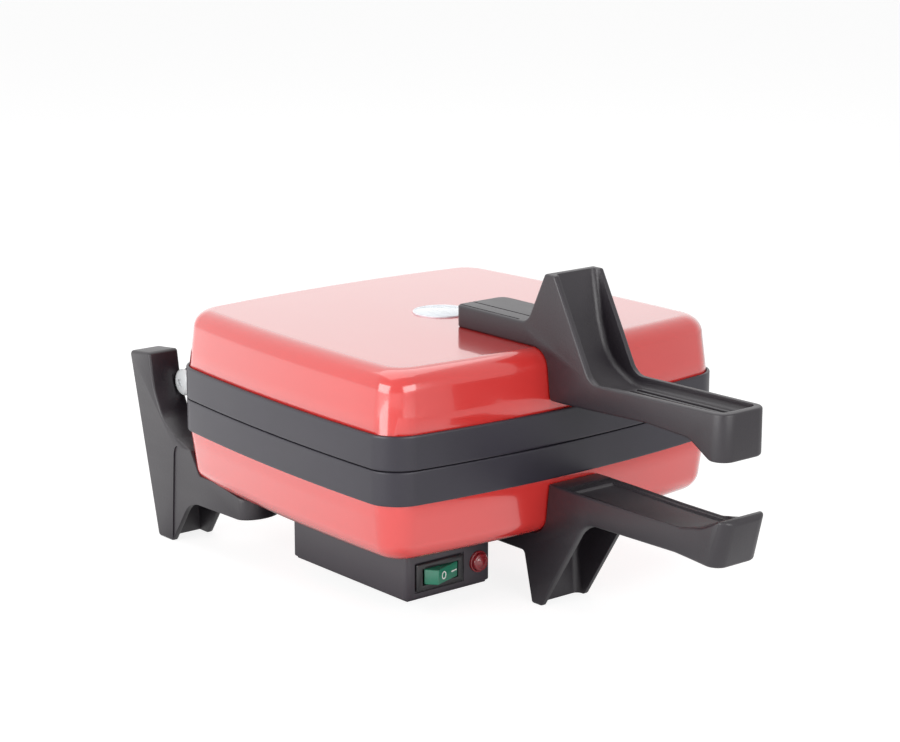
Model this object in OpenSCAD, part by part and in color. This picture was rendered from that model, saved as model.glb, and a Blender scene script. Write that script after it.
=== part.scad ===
// Countertop maker of fish-shaped cakes: two hinged half shells with moulded
// bands, a cast mould plate in each half, a long grip pair at the front, three
// legs, and a control box under the lower shell.
// X is the width, the hinge is at +Y, the grips point to -Y, Z is up.

/* [Body] */
// Widest measure across the bands
body_w = 236; // [216:1:256]
// Measure over the bands from front to back
body_d = 226; // [210:1:242]
// Corner radius of the bands in plan
corner_r = 16.4; // [12:0.1:24]
// How much the sides bow outwards, as a share of the half width
side_bow = 0.037; // [0.03:0.001:0.06]
// How much the front and the back bow outwards, as a share of the half depth
front_bow = 0.086; // [0.06:0.002:0.1]
// How much narrower the hinge side is, as a share of the half width
back_taper = 0.04; // [0.03:0.002:0.06]
// Height of each moulded band
band_h = 18.5; // [16:0.1:20]
// Height of each half from the seam to the flat of its shell
shell_h = 50.6; // [47:0.1:54]
// Radius of the shell edge
edge_r = 11.2; // [9:0.1:13]
// Slope of the shell walls, degrees
draft = 7; // [4:0.5:9]
// Sheet thickness of the shells
sheet_t = 1.0; // [0.8:0.1:1.4]
// Gap between the two halves at the seam
seam = 0.6; // [0.4:0.1:1]

/* [Legs and grips] */
// Height from the table to the seam
leg_h = 91; // [86:0.5:96]
// Half width of both grips at the root
grip_w = 17.5; // [16:0.1:19]
// Half width of both grips at the tip
tip_w = 15.9; // [14:0.1:17]
// Reach of both grips in front of the bands
reach = 122.7; // [110:0.1:135]
// Wall thickness of the grip channels
rib_t = 3.4; // [2.8:0.1:4]
// Thickness of the bars that lie on the shells
bar_t = 12.4; // [11.5:0.1:14]
// Width of the rear legs
leg_w = 29; // [26:0.5:30]
// Width of the stop arms above the rear legs
arm_w = 20; // [18:0.5:22]

/* [Hinge] */
// Distance of the hinge axis behind the bands
axis_gap = 13.5; // [13.2:0.1:14.4]
// Diameter of the hinge screws
pin_d = 6; // [5:0.5:6.5]
// Radius of the hinge lugs
lug_r = 8; // [7:0.1:8.4]
// Thickness of each hinge lug
lug_t = 7; // [6:0.5:8]
// Radial play in the hinge lugs
pin_play = 0.05; // [0.03:0.01:0.1]
// Distance of the outer face of the outer lug from the middle
lug_x = 86.8; // [84:0.1:87]
// How far the head of each hinge screw stands off its lug
head_off = 2.4; // [0.3:0.1:3]

/* [Moulds] */
// Length of each fish mould
fish_l = 162; // [150:1:170]
// Depth of each half mould
fish_h = 12; // [10:0.5:13]
// Distance of the fish from the middle
fish_x = 46; // [45:0.5:48]
// Thickness of the flat of the mould plates
plate_t = 4; // [3.5:0.1:4.5]
// Diameter of the heating tubes
heater_d = 6.6; // [6:0.1:7]

/* [Control box] */
// Width of the control box
box_w = 58; // [54:0.5:60]
// Length of the control box from front to back
box_l = 102; // [90:1:105]
// Height of the control box under the shell
box_h = 30.6; // [28:0.1:32]
// Distance of the box side from the left side of the bands
box_side = 29.7; // [27:0.1:32]
// Distance of the box front from the front of the bands
box_y = 34; // [32:1:38]
// Width of the switch rim
switch_w = 32; // [30:0.5:33]
// Height of the switch rim
switch_h = 15; // [14:0.5:16]
// Tilt of the rocker to each side, degrees
rocker_tilt = 9; // [7:0.5:10]
// Diameter of the signal lamp
lamp_d = 11.4; // [10.5:0.1:12]

/* [Hidden] */
$fn = 64;
eps = 0.01;
gap = 0.15;
half_w = body_w / 2;
half_d = body_d / 2;
front = -half_d;
rabbet = 2;
step_in = 1.6;
axis_y = half_d + axis_gap;
tip_y = front - reach;
arm_x = half_w * (1 - side_bow) * (1 - back_taper) - 1.8;
arm_back = half_d + 44;
lip_out = 2.6;
box_x = half_w - box_side - box_w / 2;
y_shift = -(tip_y - lip_out + arm_back) / 2;
corner_n = 6;
side_n = 5;

// Plan of the body: a rounded rectangle whose sides bow outwards and whose
// hinge side is narrower; i is the distance inwards from the bands.
function bowed(p) = let(u = p[0] / half_w, v = p[1] / half_d)
    [p[0] * (1 - side_bow * v * v) * (1 - back_taper * v), p[1] * (1 - front_bow * u * u)];
function corner(i, k, j, r) = let(a = 90 * (k + j / corner_n), sx = (k == 0 || k == 3) ? 1 : -1,
    sy = k < 2 ? 1 : -1)
    [sx * (half_w - i - r) + r * cos(a), sy * (half_d - i - r) + r * sin(a)];
function plan(i) = let(r = max(corner_r - 0.45 * i, 5))
    [for (k = [0:3]) for (j = [0:corner_n + side_n])
        let(a = corner(i, k, corner_n, r), b = corner(i, (k + 1) % 4, 0, r),
            t = (j - corner_n) / (side_n + 1))
        bowed(j <= corner_n ? corner(i, k, j, r) : a + (b - a) * t)];

// Rings of the shell from its rim to its flat: distance inwards and height.
wall_top = shell_h - edge_r;
wall_in = step_in + (wall_top - band_h + rabbet) * tan(draft);
ring_a = [0, 12, 25, 38, 51, 64, 77, 90];
function shell_rings(t) = concat([[step_in + t, band_h - rabbet]],
    [for (a = ring_a) [wall_in + t + (edge_r - t) * (1 - cos(a)), wall_top + (edge_r - t) * sin(a)]]);

module loft(rings) {
    n = len(plan(0));
    m = len(rings);
    pts = [for (r = rings) for (p = plan(r[0])) [p[0], p[1], r[1]]];
    sides = [for (k = [0:m - 2]) for (j = [0:n - 1]) let(a = k * n + j, b = k * n + (j + 1) % n)
        each [[a, a + n, b], [b, a + n, b + n]]];
    polyhedron(points = pts, faces = concat([[for (j = [0:n - 1]) j]],
        [[for (j = [n - 1:-1:0]) (m - 1) * n + j]], sides), convexity = 4);
}

module flat(i, z0, z1) {
    translate([0, 0, z0]) linear_extrude(z1 - z0) polygon(plan(i));
}

module at_frame() { translate([0, y_shift, leg_h]) children(); }
module lower() { at_frame() mirror([0, 0, 1]) children(); }
module upper() { at_frame() children(); }
module bore(d, z0, z1) { translate([0, 0, z0]) cylinder(d = d, h = z1 - z0); }

// Side outlines are drawn in the Y-Z plane and extruded along X.
module side(x0, x1) {
    translate([x0, 0, 0]) rotate([90, 0, 90]) linear_extrude(x1 - x0) children();
}

/* Shells */
bar_y = front + 85;
handle_hole = [front + 34, front + 66];
leg_hole = [half_d - 62, half_d - 36];
leg_mid = arm_x - leg_w + 8.2;
box_mid_y = front + box_y + box_l / 2;
screw_d = 4;
hole_d = screw_d + 0.4;
head_w = 8;
head_t = 3;
bite = 8.5;
wire_d = 12;
box_screw_y = [box_mid_y - 30, box_mid_y + 34];

module shell_body() {
    difference() {
        loft(shell_rings(0));
        difference() {
            loft([for (r = shell_rings(sheet_t)) [r[0], r[1] == band_h - rabbet ? r[1] - 1 : r[1]]]);
            flat(0, band_h - rabbet - 2, band_h - rabbet - 1 - eps);
        }
        for (y = handle_hole) translate([0, y, 0]) bore(hole_d, wall_top, shell_h + 1);
    }
}

module upper_shell() { color([0.88, 0.17, 0.15]) upper() shell_body(); }

module lower_shell() {
    color([0.88, 0.17, 0.15]) lower() difference() {
        shell_body();
        for (s = [-1, 1], y = leg_hole) translate([s * leg_mid, y, 0])
            bore(hole_d, wall_top, shell_h + 1);
        for (y = box_screw_y) translate([-box_x, y, 0]) bore(hole_d, wall_top, shell_h + 1);
        translate([-box_x, box_mid_y, 0]) bore(wire_d, wall_top, shell_h + 1);
    }
}

/* Bands */
band_t = 4;
ledge_w = 10;
ledge_z = seam / 2 + plate_t;
ledge_t = 4;
plate_in = band_t + 0.4;
screw_in = band_t + ledge_w / 2;
function screw_at(sx, sy) = let(v = 0.62, p = bowed([sx * (half_w - screw_in), sy * half_d * v])) p;
screw_spots = [for (sx = [-1, 1], sy = [-1, 1]) screw_at(sx, sy)];
lug_in = lug_x - lug_t;

module band() {
    difference() {
        flat(0, seam / 2, band_h);
        flat(band_t, -1, ledge_z);
        flat(band_t + ledge_w, ledge_z - 1, band_h + 1);
        flat(band_t, ledge_z + ledge_t, band_h + 1);
        flat(step_in - gap, band_h - rabbet, band_h + 1);
        for (p = screw_spots) translate(p) bore(hole_d, 0, band_h);
    }
}

// A hinge lug: an eye round the axis joined to the back of its band.
module lug(x0, x1) {
    root = half_d * (1 - front_bow * pow(lug_x / half_w, 2)) - 2.4;
    difference() {
        union() {
            translate([x0, axis_y, 0]) rotate([0, 90, 0]) cylinder(r = lug_r, h = x1 - x0);
            side(x0, x1) polygon([[root, band_h - 4], [axis_y, lug_r], [axis_y, -lug_r + 3],
                [half_d + 1.2, seam / 2], [root, seam / 2]]);
        }
        flat(1, -band_h, band_h);
        translate([x0 - 1, axis_y, 0]) rotate([0, 90, 0])
            cylinder(d = pin_d + 2 * pin_play, h = x1 - x0 + 2);
    }
}

module upper_band() {
    color([0.16, 0.15, 0.17]) upper() {
        band();
        for (s = [0, 1]) mirror([s, 0, 0]) lug(lug_in, lug_x);
    }
}

module lower_band() {
    color([0.16, 0.15, 0.17]) lower() {
        band();
        for (s = [0, 1]) mirror([s, 0, 0]) lug(lug_in - 0.4 - lug_t, lug_in - 0.4);
    }
}

/* Mould plates */
fish_pts = [[0, 0], [3, 11], [12, 22], [28, 30], [40, 34], [48, 41], [66, 42], [80, 35], [96, 26], [110, 17],
    [120, 15], [134, 24], [148, 34], [159, 37], [162, 32], [156, 18], [152, 2], [155, -14], [161, -28],
    [158, -34], [146, -31], [132, -22], [119, -14], [108, -16], [92, -25], [82, -31], [74, -39], [62, -40],
    [54, -33], [36, -31], [22, -26], [9, -17], [2, -8]];
function softened(p) = [for (k = [0:len(p) - 1]) let(a = p[k], b = p[(k + 1) % len(p)])
    each [a * 0.75 + b * 0.25, a * 0.25 + b * 0.75]];
fish_k = fish_l / 162;
fish_line = softened([for (p = fish_pts) [(p[0] - 81) * fish_k, p[1] * fish_k]]);
fish_steps = [[0, 1], [0.45, 0.955], [0.78, 0.86], [1, 0.68]];
skin = 3;

// One half fish that narrows with depth; g widens it for the casting round it.
module fish(g, z0, depth) {
    for (k = [0:len(fish_steps) - 2]) let(a = fish_steps[k], b = fish_steps[k + 1])
        translate([0, 0, z0 + a[0] * depth - eps * k])
            linear_extrude((b[0] - a[0]) * depth + eps * k, scale = b[1] / a[1])
                scale(a[1]) offset(delta = g) polygon(fish_line);
}

// The relief inside a mould: gill, eye, fin and tail ridges and rows of scales.
module fish_relief() {
    top = seam / 2 + fish_h;
    eye_x = -62 * fish_k;
    translate([eye_x, 9 * fish_k, top - 3]) cylinder(d = 7 * fish_k, h = 3 + eps);
    translate([eye_x + 6 * fish_k, 0, top - 2]) linear_extrude(2 + eps) intersection() {
        difference() {
            circle(r = 20 * fish_k);
            circle(r = 18.2 * fish_k);
        }
        polygon([[0, -15], [30, -15], [30, 15], [0, 15]] * fish_k);
    }
    for (i = [0:3], j = [-1:1])
        translate([(-18 + 13 * i) * fish_k, (j * 12 + (i % 2) * 6 - 3) * fish_k, top - 1.6])
        linear_extrude(1.6 + eps) intersection() {
            difference() {
                circle(r = 7.4 * fish_k, $fn = 24);
                circle(r = 6 * fish_k, $fn = 24);
            }
            translate([0, -6 * fish_k]) square([8, 12] * fish_k);
        }
}

module mould_plate() {
    difference() {
        union() {
            flat(plate_in, seam / 2, ledge_z);
            for (s = [-1, 1]) translate([s * fish_x, 0, 0]) rotate([0, 0, 90])
                fish(skin, seam / 2, fish_h + skin);
            translate([0, 0, ledge_z - eps]) cylinder(d = 18, h = 2);
        }
        for (s = [-1, 1]) translate([s * fish_x, 0, 0]) rotate([0, 0, 90]) difference() {
            fish(0, seam / 2 - eps, fish_h + eps);
            fish_relief();
        }
        for (p = screw_spots) translate(p) bore(screw_d + 0.1, seam / 2 + 1.2, ledge_z + 1);
    }
}

module upper_plate() { color([0.25, 0.25, 0.26]) upper() mould_plate(); }
module lower_plate() { color([0.25, 0.25, 0.26]) lower() mould_plate(); }

/* Heating and inner fittings */
tube_r = heater_d / 2;
tube_z = seam / 2 + fish_h + skin + tube_r + eps;
loop_x = fish_x;
loop_y = fish_l * 0.31;
bend_r = 12;
lead_x = 9;
tray_z = ledge_z + ledge_t;
tray_in = band_t + 1;
tray_t = 0.6;
tray_d = fish_h + skin + heater_d - 4;
lead_z = tray_z + tray_d + 4;

// One rounded loop under both moulds; its two ends turn down at the back.
module heater_tube() {
    straight = loop_x - bend_r;
    translate([0, 0, tube_z]) {
        translate([-straight, -loop_y, 0]) rotate([0, 90, 0]) cylinder(d = heater_d, h = 2 * straight);
        for (s = [-1, 1]) {
            translate([s * loop_x, -loop_y + bend_r, 0]) rotate([-90, 0, 0])
                cylinder(d = heater_d, h = 2 * (loop_y - bend_r));
            translate([s * lead_x, loop_y, 0]) {
                rotate([0, s * 90, 0]) cylinder(d = heater_d, h = straight - lead_x);
                sphere(d = heater_d);
                cylinder(d = heater_d, h = lead_z - tube_z);
                cylinder(d = 2.5, h = lead_z - tube_z + 8);
            }
            for (t = [-1, 1]) translate([s * straight, t * (loop_y - bend_r), 0])
                rotate([0, 0, s > 0 ? (t > 0 ? 0 : -90) : (t > 0 ? 90 : 180)])
                    rotate_extrude(angle = 90) translate([bend_r, 0]) circle(r = tube_r);
        }
    }
}

module tray() {
    difference() {
        union() {
            difference() {
                flat(tray_in, tray_z, tray_z + tray_t);
                flat(band_t + ledge_w + 1, tray_z - 1, tray_z + 2);
            }
            difference() {
                flat(band_t + ledge_w, tray_z, tray_z + tray_d);
                flat(band_t + ledge_w + tray_t, tray_z - 1, tray_z + tray_d - tray_t);
            }
        }
        for (p = screw_spots) translate(p) bore(hole_d, tray_z - 1, tray_z + tray_d);
        for (s = [-1, 1]) translate([s * lead_x, loop_y, 0]) bore(heater_d + 1, tray_z, tray_z + tray_d + 1);
        bore(20, tray_z, tray_z + tray_d + 1);
    }
}

module bolt(d, head_d, head_h, z_head, z_tip) {
    bore(d, min(z_head, z_tip), max(z_head, z_tip));
    translate([0, 0, z_tip < z_head ? z_head : z_head - head_h]) difference() {
        cylinder(d = head_d, h = head_h);
        translate([-head_d, -0.4, z_tip < z_head ? head_h - 0.8 : -eps]) cube([2 * head_d, 0.8, 0.8 + eps]);
    }
}

module plate_bolts() {
    for (p = screw_spots) translate(p) bolt(screw_d, 7, 2.4, tray_z + tray_t + eps, seam / 2 + 1.6);
}

module terminal_block() {
    translate([0, loop_y - 22, tray_z + tray_d + eps]) difference() {
        translate([-14, -6, 0]) cube([28, 12, 8]);
        for (x = [-8, 0, 8]) translate([x, 0, 2]) bore(3.4, 0, 8);
        for (x = [-8, 0, 8]) translate([x, -7, 4]) rotate([-90, 0, 0]) cylinder(d = 2.6, h = 14);
    }
}

module upper_heater() { color([0.5, 0.48, 0.45]) upper() heater_tube(); }
module lower_heater() { color([0.5, 0.48, 0.45]) lower() heater_tube(); }
module upper_tray() { color([0.78, 0.79, 0.8]) upper() tray(); }
module lower_tray() { color([0.78, 0.79, 0.8]) lower() tray(); }
module upper_plate_screws() { color([0.7, 0.7, 0.72]) upper() plate_bolts(); }
module lower_plate_screws() { color([0.7, 0.7, 0.72]) lower() plate_bolts(); }
module upper_terminals() { color([0.93, 0.91, 0.86]) upper() terminal_block(); }
module lower_terminals() { color([0.93, 0.91, 0.86]) lower() terminal_block(); }

// Bimetal thermostat seated on the boss of the lower plate.
module thermostat() {
    z0 = ledge_z + 2;
    color([0.75, 0.72, 0.66]) lower() {
        bore(16, z0, z0 + 9);
        for (s = [-1, 1]) translate([s * 5 - 0.4, -3, z0 + 9]) cube([0.8, 6, 7]);
    }
}

// Thermal cut-out seated on the boss of the upper plate.
module thermal_cutout() {
    z0 = ledge_z + 2;
    color([0.8, 0.76, 0.68]) upper() {
        bore(14, z0, z0 + 6);
        translate([-9, -1.5, z0 + 6]) cube([18, 3, 1]);
        for (s = [-1, 1]) translate([s * 9 - (s > 0 ? 0.8 : 0), -1.5, z0 + 7]) cube([0.8, 3, 5]);
    }
}

module earth_tag() {
    color([0.75, 0.6, 0.25]) lower() translate([26, loop_y - 22, tray_z + tray_d]) difference() {
        union() {
            cylinder(d = 9, h = 0.8);
            translate([-3, 0, 0]) cube([6, 14, 0.8]);
            translate([-3, 13.2, 0]) cube([6, 0.8, 8]);
        }
        translate([0, 0, -1]) cylinder(d = 4.2, h = 3);
    }
}

/* Front grips and front leg */
wall_line = [for (r = shell_rings(0)) [-(half_d - r[0]) - gap, r[1]]];
top_z = [23.9, 38.9, 40.6];

// Plan of both grips: full width at the root, narrower at the rounded tip.
module grip_plan(end) {
    r = 8;
    root = front - 28;
    translate([0, 0, -leg_h - 5]) linear_extrude(2 * leg_h + 10)
        polygon(concat([[-grip_w, root]],
            [for (a = [180:-10:0]) [grip_w * cos(a), bar_y - 9.2 + 9.2 * sin(a)]], [[grip_w, root]],
            [for (a = [0:-15:-90]) [tip_w - r + r * cos(a), end + r + r * sin(a)]],
            [for (a = [-90:-15:-180]) [-tip_w + r + r * cos(a), end + r + r * sin(a)]]));
}

upper_side = concat(
    [[bar_y, shell_h], [bar_y, shell_h + bar_t - 1], [bar_y - 1, shell_h + bar_t],
     [front + 29, shell_h + bar_t], [front + 25, shell_h + bar_t + 0.7], [front + 21.8, shell_h + bar_t + 2.8],
     [front + 19.2, shell_h + bar_t + 6.6], [front + 7.9, leg_h - 0.9], [front + 6.9, leg_h],
     [front, leg_h], [front - 0.9, leg_h - 0.6], [front - 26, top_z[1] + 5.4],
     [front - 28.4, top_z[1] + 2.3], [front - 31, top_z[1] + 0.5], [front - 34.5, top_z[1]],
     [tip_y + 3, top_z[2]], [tip_y + 1, top_z[2] - 0.7], [tip_y, top_z[2] - 2.6], [tip_y + 0.6, 18.2],
     [tip_y + 2, 16.5], [tip_y + 7, 16], [tip_y + 12, 17], [tip_y + 17, 19.7],
     [tip_y + 22, 22.6], [tip_y + 28, 24.6], [tip_y + 53, 26.2], [front - 8, top_z[0]]],
    [[wall_line[0][0], top_z[0]]], [for (k = [1:len(wall_line) - 1]) wall_line[k]]);

// What is scooped out of the upper grip: the fin and the grip are one channel.
upper_scoop = [[front + 3.2, leg_h + 1], [front + 0.4, 78], [front - 2.2, 66], [front - 5.6, 55],
    [front - 10.5, 46.5], [front - 18, 39.5], [front - 27, 35.4], [front - 38, 34], [tip_y + 5, 35.6],
    [tip_y + 5, leg_h + 1]];

module upper_handle() {
    color([0.16, 0.14, 0.15]) upper() {
        upper_grip();
        for (s = [-1, 0, 1]) side(s * 5 - 0.8, s * 5 + 0.8)
            polygon([[front - 41, 33.8], [tip_y + 12, 35], [tip_y + 12, 36.7], [front - 41, 35.4]]);
    }
}

module upper_grip() {
    difference() {
        intersection() {
            side(-grip_w, grip_w) polygon(upper_side);
            grip_plan(tip_y);
        }
        intersection() {
            side(-grip_w + rib_t, grip_w - rib_t) polygon(upper_scoop);
            channel_plan();
        }
        for (s = [-1, 1]) translate([s * 8.5 - 0.6, front + 34, shell_h + bar_t - 0.8]) cube([1.2, 36, 2]);
        for (y = handle_hole) translate([0, y, 0]) bore(screw_d + 0.2, shell_h - 1, shell_h + bite + 0.5);
    }
}

module channel_plan() {
    root = front - 28;
    w0 = grip_w - rib_t;
    w1 = tip_w - rib_t;
    translate([0, 0, -leg_h - 5]) linear_extrude(2 * leg_h + 10)
        polygon([[-w0, front + 40], [w0, front + 40], [w0, root], [w1, tip_y + 9], [w1 - 4, tip_y + 5],
            [4 - w1, tip_y + 5], [-w1, tip_y + 9], [-w0, root]]);
}

lower_side = concat(
    [[bar_y, shell_h], [bar_y, shell_h + bar_t - 1], [bar_y - 1, shell_h + bar_t],
     [front + 25.5, shell_h + bar_t + 0.4], [front + 23.2, shell_h + bar_t + 1.4],
     [front + 21.8, shell_h + bar_t + 3.4], [front + 16.2, leg_h - 1.4], [front + 15, leg_h],
     [front + 7.6, leg_h], [front + 5.4, leg_h - 4.6], [front - 5.6, 67.6], [front - 14.8, 54.3],
     [front - 20.6, 45.4], [front - 24.6, 40.8], [front - 31.5, 37.6], [front - 43.4, 36.4], [front - 52, 37],
     [tip_y + 30, 36.6], [tip_y + 8, 38.9], [tip_y + 4.4, 38.6], [tip_y + 2.8, 36.4],
     [tip_y - lip_out, 17.8], [tip_y - lip_out + 0.6, 15.2], [tip_y - lip_out + 2.6, 13.5],
     [tip_y + 2.8, 13.5], [tip_y + 10, 17.2], [tip_y + 19, 20.4], [tip_y + 28, 22.2], [tip_y + 57, 22.4],
     [front - 37, 22], [front - 6, 21.4]],
    [[wall_line[0][0], 21.4]], [for (k = [1:len(wall_line) - 1]) wall_line[k]]);

leg_scoop = [[front + 12, leg_h + 1], [front + 13.6, 80], [front + 14.4, 69], [front + 12.6, 59],
    [front + 7, 51], [front - 3, 45], [front - 14, 41.6], [front - 30, 39.4], [front - 36, 38.8],
    [front - 36, leg_h + 1]];

module lower_handle() {
    color([0.16, 0.14, 0.15]) lower() difference() {
        intersection() {
            side(-grip_w, grip_w) polygon(lower_side);
            grip_plan(tip_y - lip_out);
        }
        side(-grip_w + rib_t, grip_w - rib_t) polygon(leg_scoop);
        intersection() {
            side(-grip_w + rib_t, grip_w - rib_t)
                polygon([[front - 14, 0], [front - 14, 24], [tip_y + 57, 25], [tip_y + 27, 24.8],
                    [tip_y + 17, 22.6], [tip_y + 12, 19.6], [tip_y + 12, 0]]);
            channel_plan();
        }
        for (y = handle_hole) translate([0, y, 0]) bore(screw_d + 0.2, shell_h - 1, shell_h + bite + 0.5);
    }
}

module grip_bolts() {
    for (y = handle_hole) translate([0, y, 0])
        bolt(screw_d, head_w, head_t, shell_h - sheet_t - eps, shell_h + bite);
}

module upper_handle_screws() { color([0.7, 0.7, 0.72]) upper() grip_bolts(); }
module lower_handle_screws() { color([0.7, 0.7, 0.72]) lower() grip_bolts(); }

/* Rear brackets: a leg under the shell and a stop arm behind the hinge */
back = half_d;
bracket_side = [[back - 72, shell_h], [back - 72, shell_h + 9.6], [back - 70, shell_h + 11.6],
    [back - 44, shell_h + 12], [back - 31, shell_h + 12.6], [back - 22, shell_h + 13.6],
    [back - 16, shell_h + 15.6], [back - 11, shell_h + 19], [back - 5.8, shell_h + 26], [back + 4, leg_h - 0.6],
    [back + 5, leg_h], [back + 17, leg_h], [back + 19, leg_h - 1.6], [back + 23.4, 71], [back + 32.1, 30],
    [back + 43.4, -12.4], [back + 44, -14.4], [back + 42.6, -16.6], [back + 24.2, -18.2], [back + 22.6, -17],
    [back + 20.4, -3.6], [back + 16, 9], [back + 10.6, 17.4], [back + 4.4, 23.2], [back - 3.5, 28.5],
    [back - 8, 31.4], [back - 9.4, 45.4], [back - 40, 45.4]];
bracket_scoop = [[back - 40, 66.6], [back - 22, 66.6], [back - 12, 63.5], [back + 3, 60], [back + 12, 62],
    [back + 14.5, 68], [back + 12.6, leg_h + 1], [back - 40, leg_h + 1]];

module bracket() {
    x1 = arm_x;
    difference() {
        intersection() {
            side(-x1, -x1 + leg_w) polygon(bracket_side);
            translate([0, back + 60, 0]) rotate([90, 0, 0]) linear_extrude(160)
                polygon([[-x1, -30], [-x1 + arm_w, -30], [-x1 + arm_w, 26], [-x1 + leg_w, 52],
                    [-x1 + leg_w, leg_h + 1], [-x1, leg_h + 1]]);
            translate([0, 0, -30]) linear_extrude(leg_h + 40) union() {
                translate([-x1, back - 62]) square([leg_w, 120]);
                intersection() {
                    translate([-x1 + leg_w / 2, back - 62 + eps]) scale([1, 0.72]) circle(r = leg_w / 2);
                    translate([-x1, back - 90]) square([leg_w, 30]);
                }
            }
        }
        side(-x1 + 4, -x1 + leg_w - 4) polygon(bracket_scoop);
        translate([-lug_x - head_off - 4.2, axis_y, 0]) rotate([0, 90, 0])
            cylinder(d = head_d + 1.4, h = arm_w);
        side(-x1 - 1, -x1 + 0.7) polygon([[back - 90, leg_h + 1], [back + 3.6, leg_h + 1], [back - 1, 32],
            [back - 1, 20], [back - 90, 20]]);
        loft([[-1.2, seam - 6], [-1.2, band_h + 0.5], [step_in - 0.6, band_h + 0.6],
            each [for (k = [1:len(ring_a)]) let(r = shell_rings(0)[k])
                [r[0] - gap * cos(ring_a[k - 1]), r[1]]]]);
        for (y = leg_hole) translate([-leg_mid, y, 0]) bore(screw_d + 0.2, shell_h - 1, shell_h + bite + 0.5);
    }
}

module left_bracket() { color([0.16, 0.14, 0.15]) lower() bracket(); }
module right_bracket() { color([0.16, 0.14, 0.15]) lower() mirror([1, 0, 0]) bracket(); }
module bracket_screws() {
    color([0.7, 0.7, 0.72]) lower() for (s = [-1, 1], y = leg_hole) translate([s * leg_mid, y, 0])
        bolt(screw_d, head_w, head_t, shell_h - sheet_t - eps, shell_h + bite);
}

/* Hinge screws */
head_d = 15.6;
nut_d = 11.5;
nut_t = 5;
nut_x = lug_in - 0.4 - lug_t;

module hinge_screw() {
    x0 = lug_x + head_off;
    translate([0, axis_y, 0]) rotate([0, 90, 0]) difference() {
        union() {
            translate([0, 0, nut_x - nut_t - 2]) cylinder(d = pin_d, h = x0 - nut_x + nut_t + 2 + eps);
            translate([0, 0, lug_x + 0.3]) cylinder(d = pin_d + 4, h = head_off - 0.3 + eps);
            translate([0, 0, x0]) rotate_extrude() polygon([[0, 0], [head_d / 2, 0], [head_d / 2, 1.3],
                [head_d / 2 - 0.6, 2.2], [head_d / 2 - 2, 3], [head_d / 2 - 4, 3.5], [0, 3.7]]);
        }
        translate([-3.2, -0.7, x0 + 2.4]) cube([6.4, 1.4, 2]);
        translate([-0.7, -3.2, x0 + 2.4]) cube([1.4, 6.4, 2]);
    }
}

module left_hinge_screw() { color([0.93, 0.93, 0.94]) upper() mirror([1, 0, 0]) hinge_screw(); }
module right_hinge_screw() { color([0.93, 0.93, 0.94]) upper() hinge_screw(); }
module hinge_nuts() {
    color([0.7, 0.7, 0.72]) upper() for (s = [0, 1]) mirror([s, 0, 0])
        translate([nut_x - nut_t - eps, axis_y, 0]) rotate([0, 90, 0]) difference() {
            cylinder(d = nut_d, h = nut_t, $fn = 6);
            translate([0, 0, -1]) cylinder(d = pin_d + 0.1, h = nut_t + 2);
        }
}

/* Control box */
wall = 2.4;
box_x0 = -box_x - box_w / 2;
box_y0 = front + box_y;
switch_x = -box_x - 6.6;
switch_z = shell_h + 18;
lamp_x = -box_x + 19.2;
lamp_z = shell_h + 17.6;
cover_t = 4;
cover_out = 1.5;
post_d = 7;
post_in = 6.4;
posts = [for (x = [box_x0 + post_in, box_x0 + box_w - post_in], y = [box_y0 + 24, box_y0 + box_l - post_in])
    [x, y]];

module box_outline(i, r) {
    translate([box_x0 + i + r, box_y0 + i + r]) offset(r = r)
        square([box_w - 2 * i - 2 * r, box_l - 2 * i - 2 * r]);
}

module control_box() {
    color([0.17, 0.15, 0.16]) lower() difference() {
        union() {
            difference() {
                translate([0, 0, shell_h]) linear_extrude(box_h - cover_out) box_outline(0, 1.6);
                translate([0, 0, shell_h + wall]) linear_extrude(box_h) box_outline(wall, 0.8);
            }
            for (p = posts) translate(p) bore(post_d, shell_h + 1, shell_h + box_h - cover_t);
        }
        translate([0, 0, shell_h + box_h - cover_t]) linear_extrude(5) box_outline(wall - 0.8, 0.8);
        for (p = posts) translate(p) bore(2.6, shell_h + box_h - 16, shell_h + box_h);
        translate([switch_x - switch_w / 2 + 1.6, box_y0 - 1, switch_z - switch_h / 2 + 0.9])
            cube([switch_w - 3.2, wall + 2, switch_h - 1.8]);
        translate([switch_x - switch_w / 2 - 2.4, box_y0 - 1, switch_z - switch_h / 2 - 3])
            cube([switch_w + 4.8, 1.8, switch_h + 6]);
        translate([lamp_x, box_y0 - 1, lamp_z]) rotate([-90, 0, 0]) cylinder(d = lamp_d - 2, h = wall + 2);
        translate([-box_x, box_y0 + box_l + 1, shell_h + 16]) rotate([90, 0, 0])
            cylinder(d = 11, h = wall + 2);
        for (y = box_screw_y) translate([-box_x, y, 0]) bore(hole_d, shell_h - 1, shell_h + wall + 1);
        translate([-box_x, box_mid_y, 0]) bore(wire_d, shell_h - 1, shell_h + wall + 1);
    }
}

module box_cover() {
    color([0.15, 0.13, 0.14]) lower() difference() {
        translate([0, 0, shell_h + box_h - cover_t]) linear_extrude(cover_t) box_outline(wall - 0.6, 0.8);
        for (p = posts) translate(p) {
            bore(3.4, shell_h + box_h - 5, shell_h + box_h);
            bore(6, shell_h + box_h - 1, shell_h + box_h + 1);
        }
        translate([-box_x - 7, box_y0 + wall - 2, shell_h + box_h - 5]) cube([14, 4.4, 6]);
    }
}

module cover_screws() {
    color([0.7, 0.7, 0.72]) lower() for (p = posts) translate(p)
        bolt(2.5, 5.4, 1.6, shell_h + box_h - 1 + eps, shell_h + box_h - 15);
}

module box_screws() {
    color([0.7, 0.7, 0.72]) lower() for (y = box_screw_y) translate([-box_x, y, 0])
        bolt(screw_d, 7, 2.4, shell_h + wall + eps, shell_h - 6);
}

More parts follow.
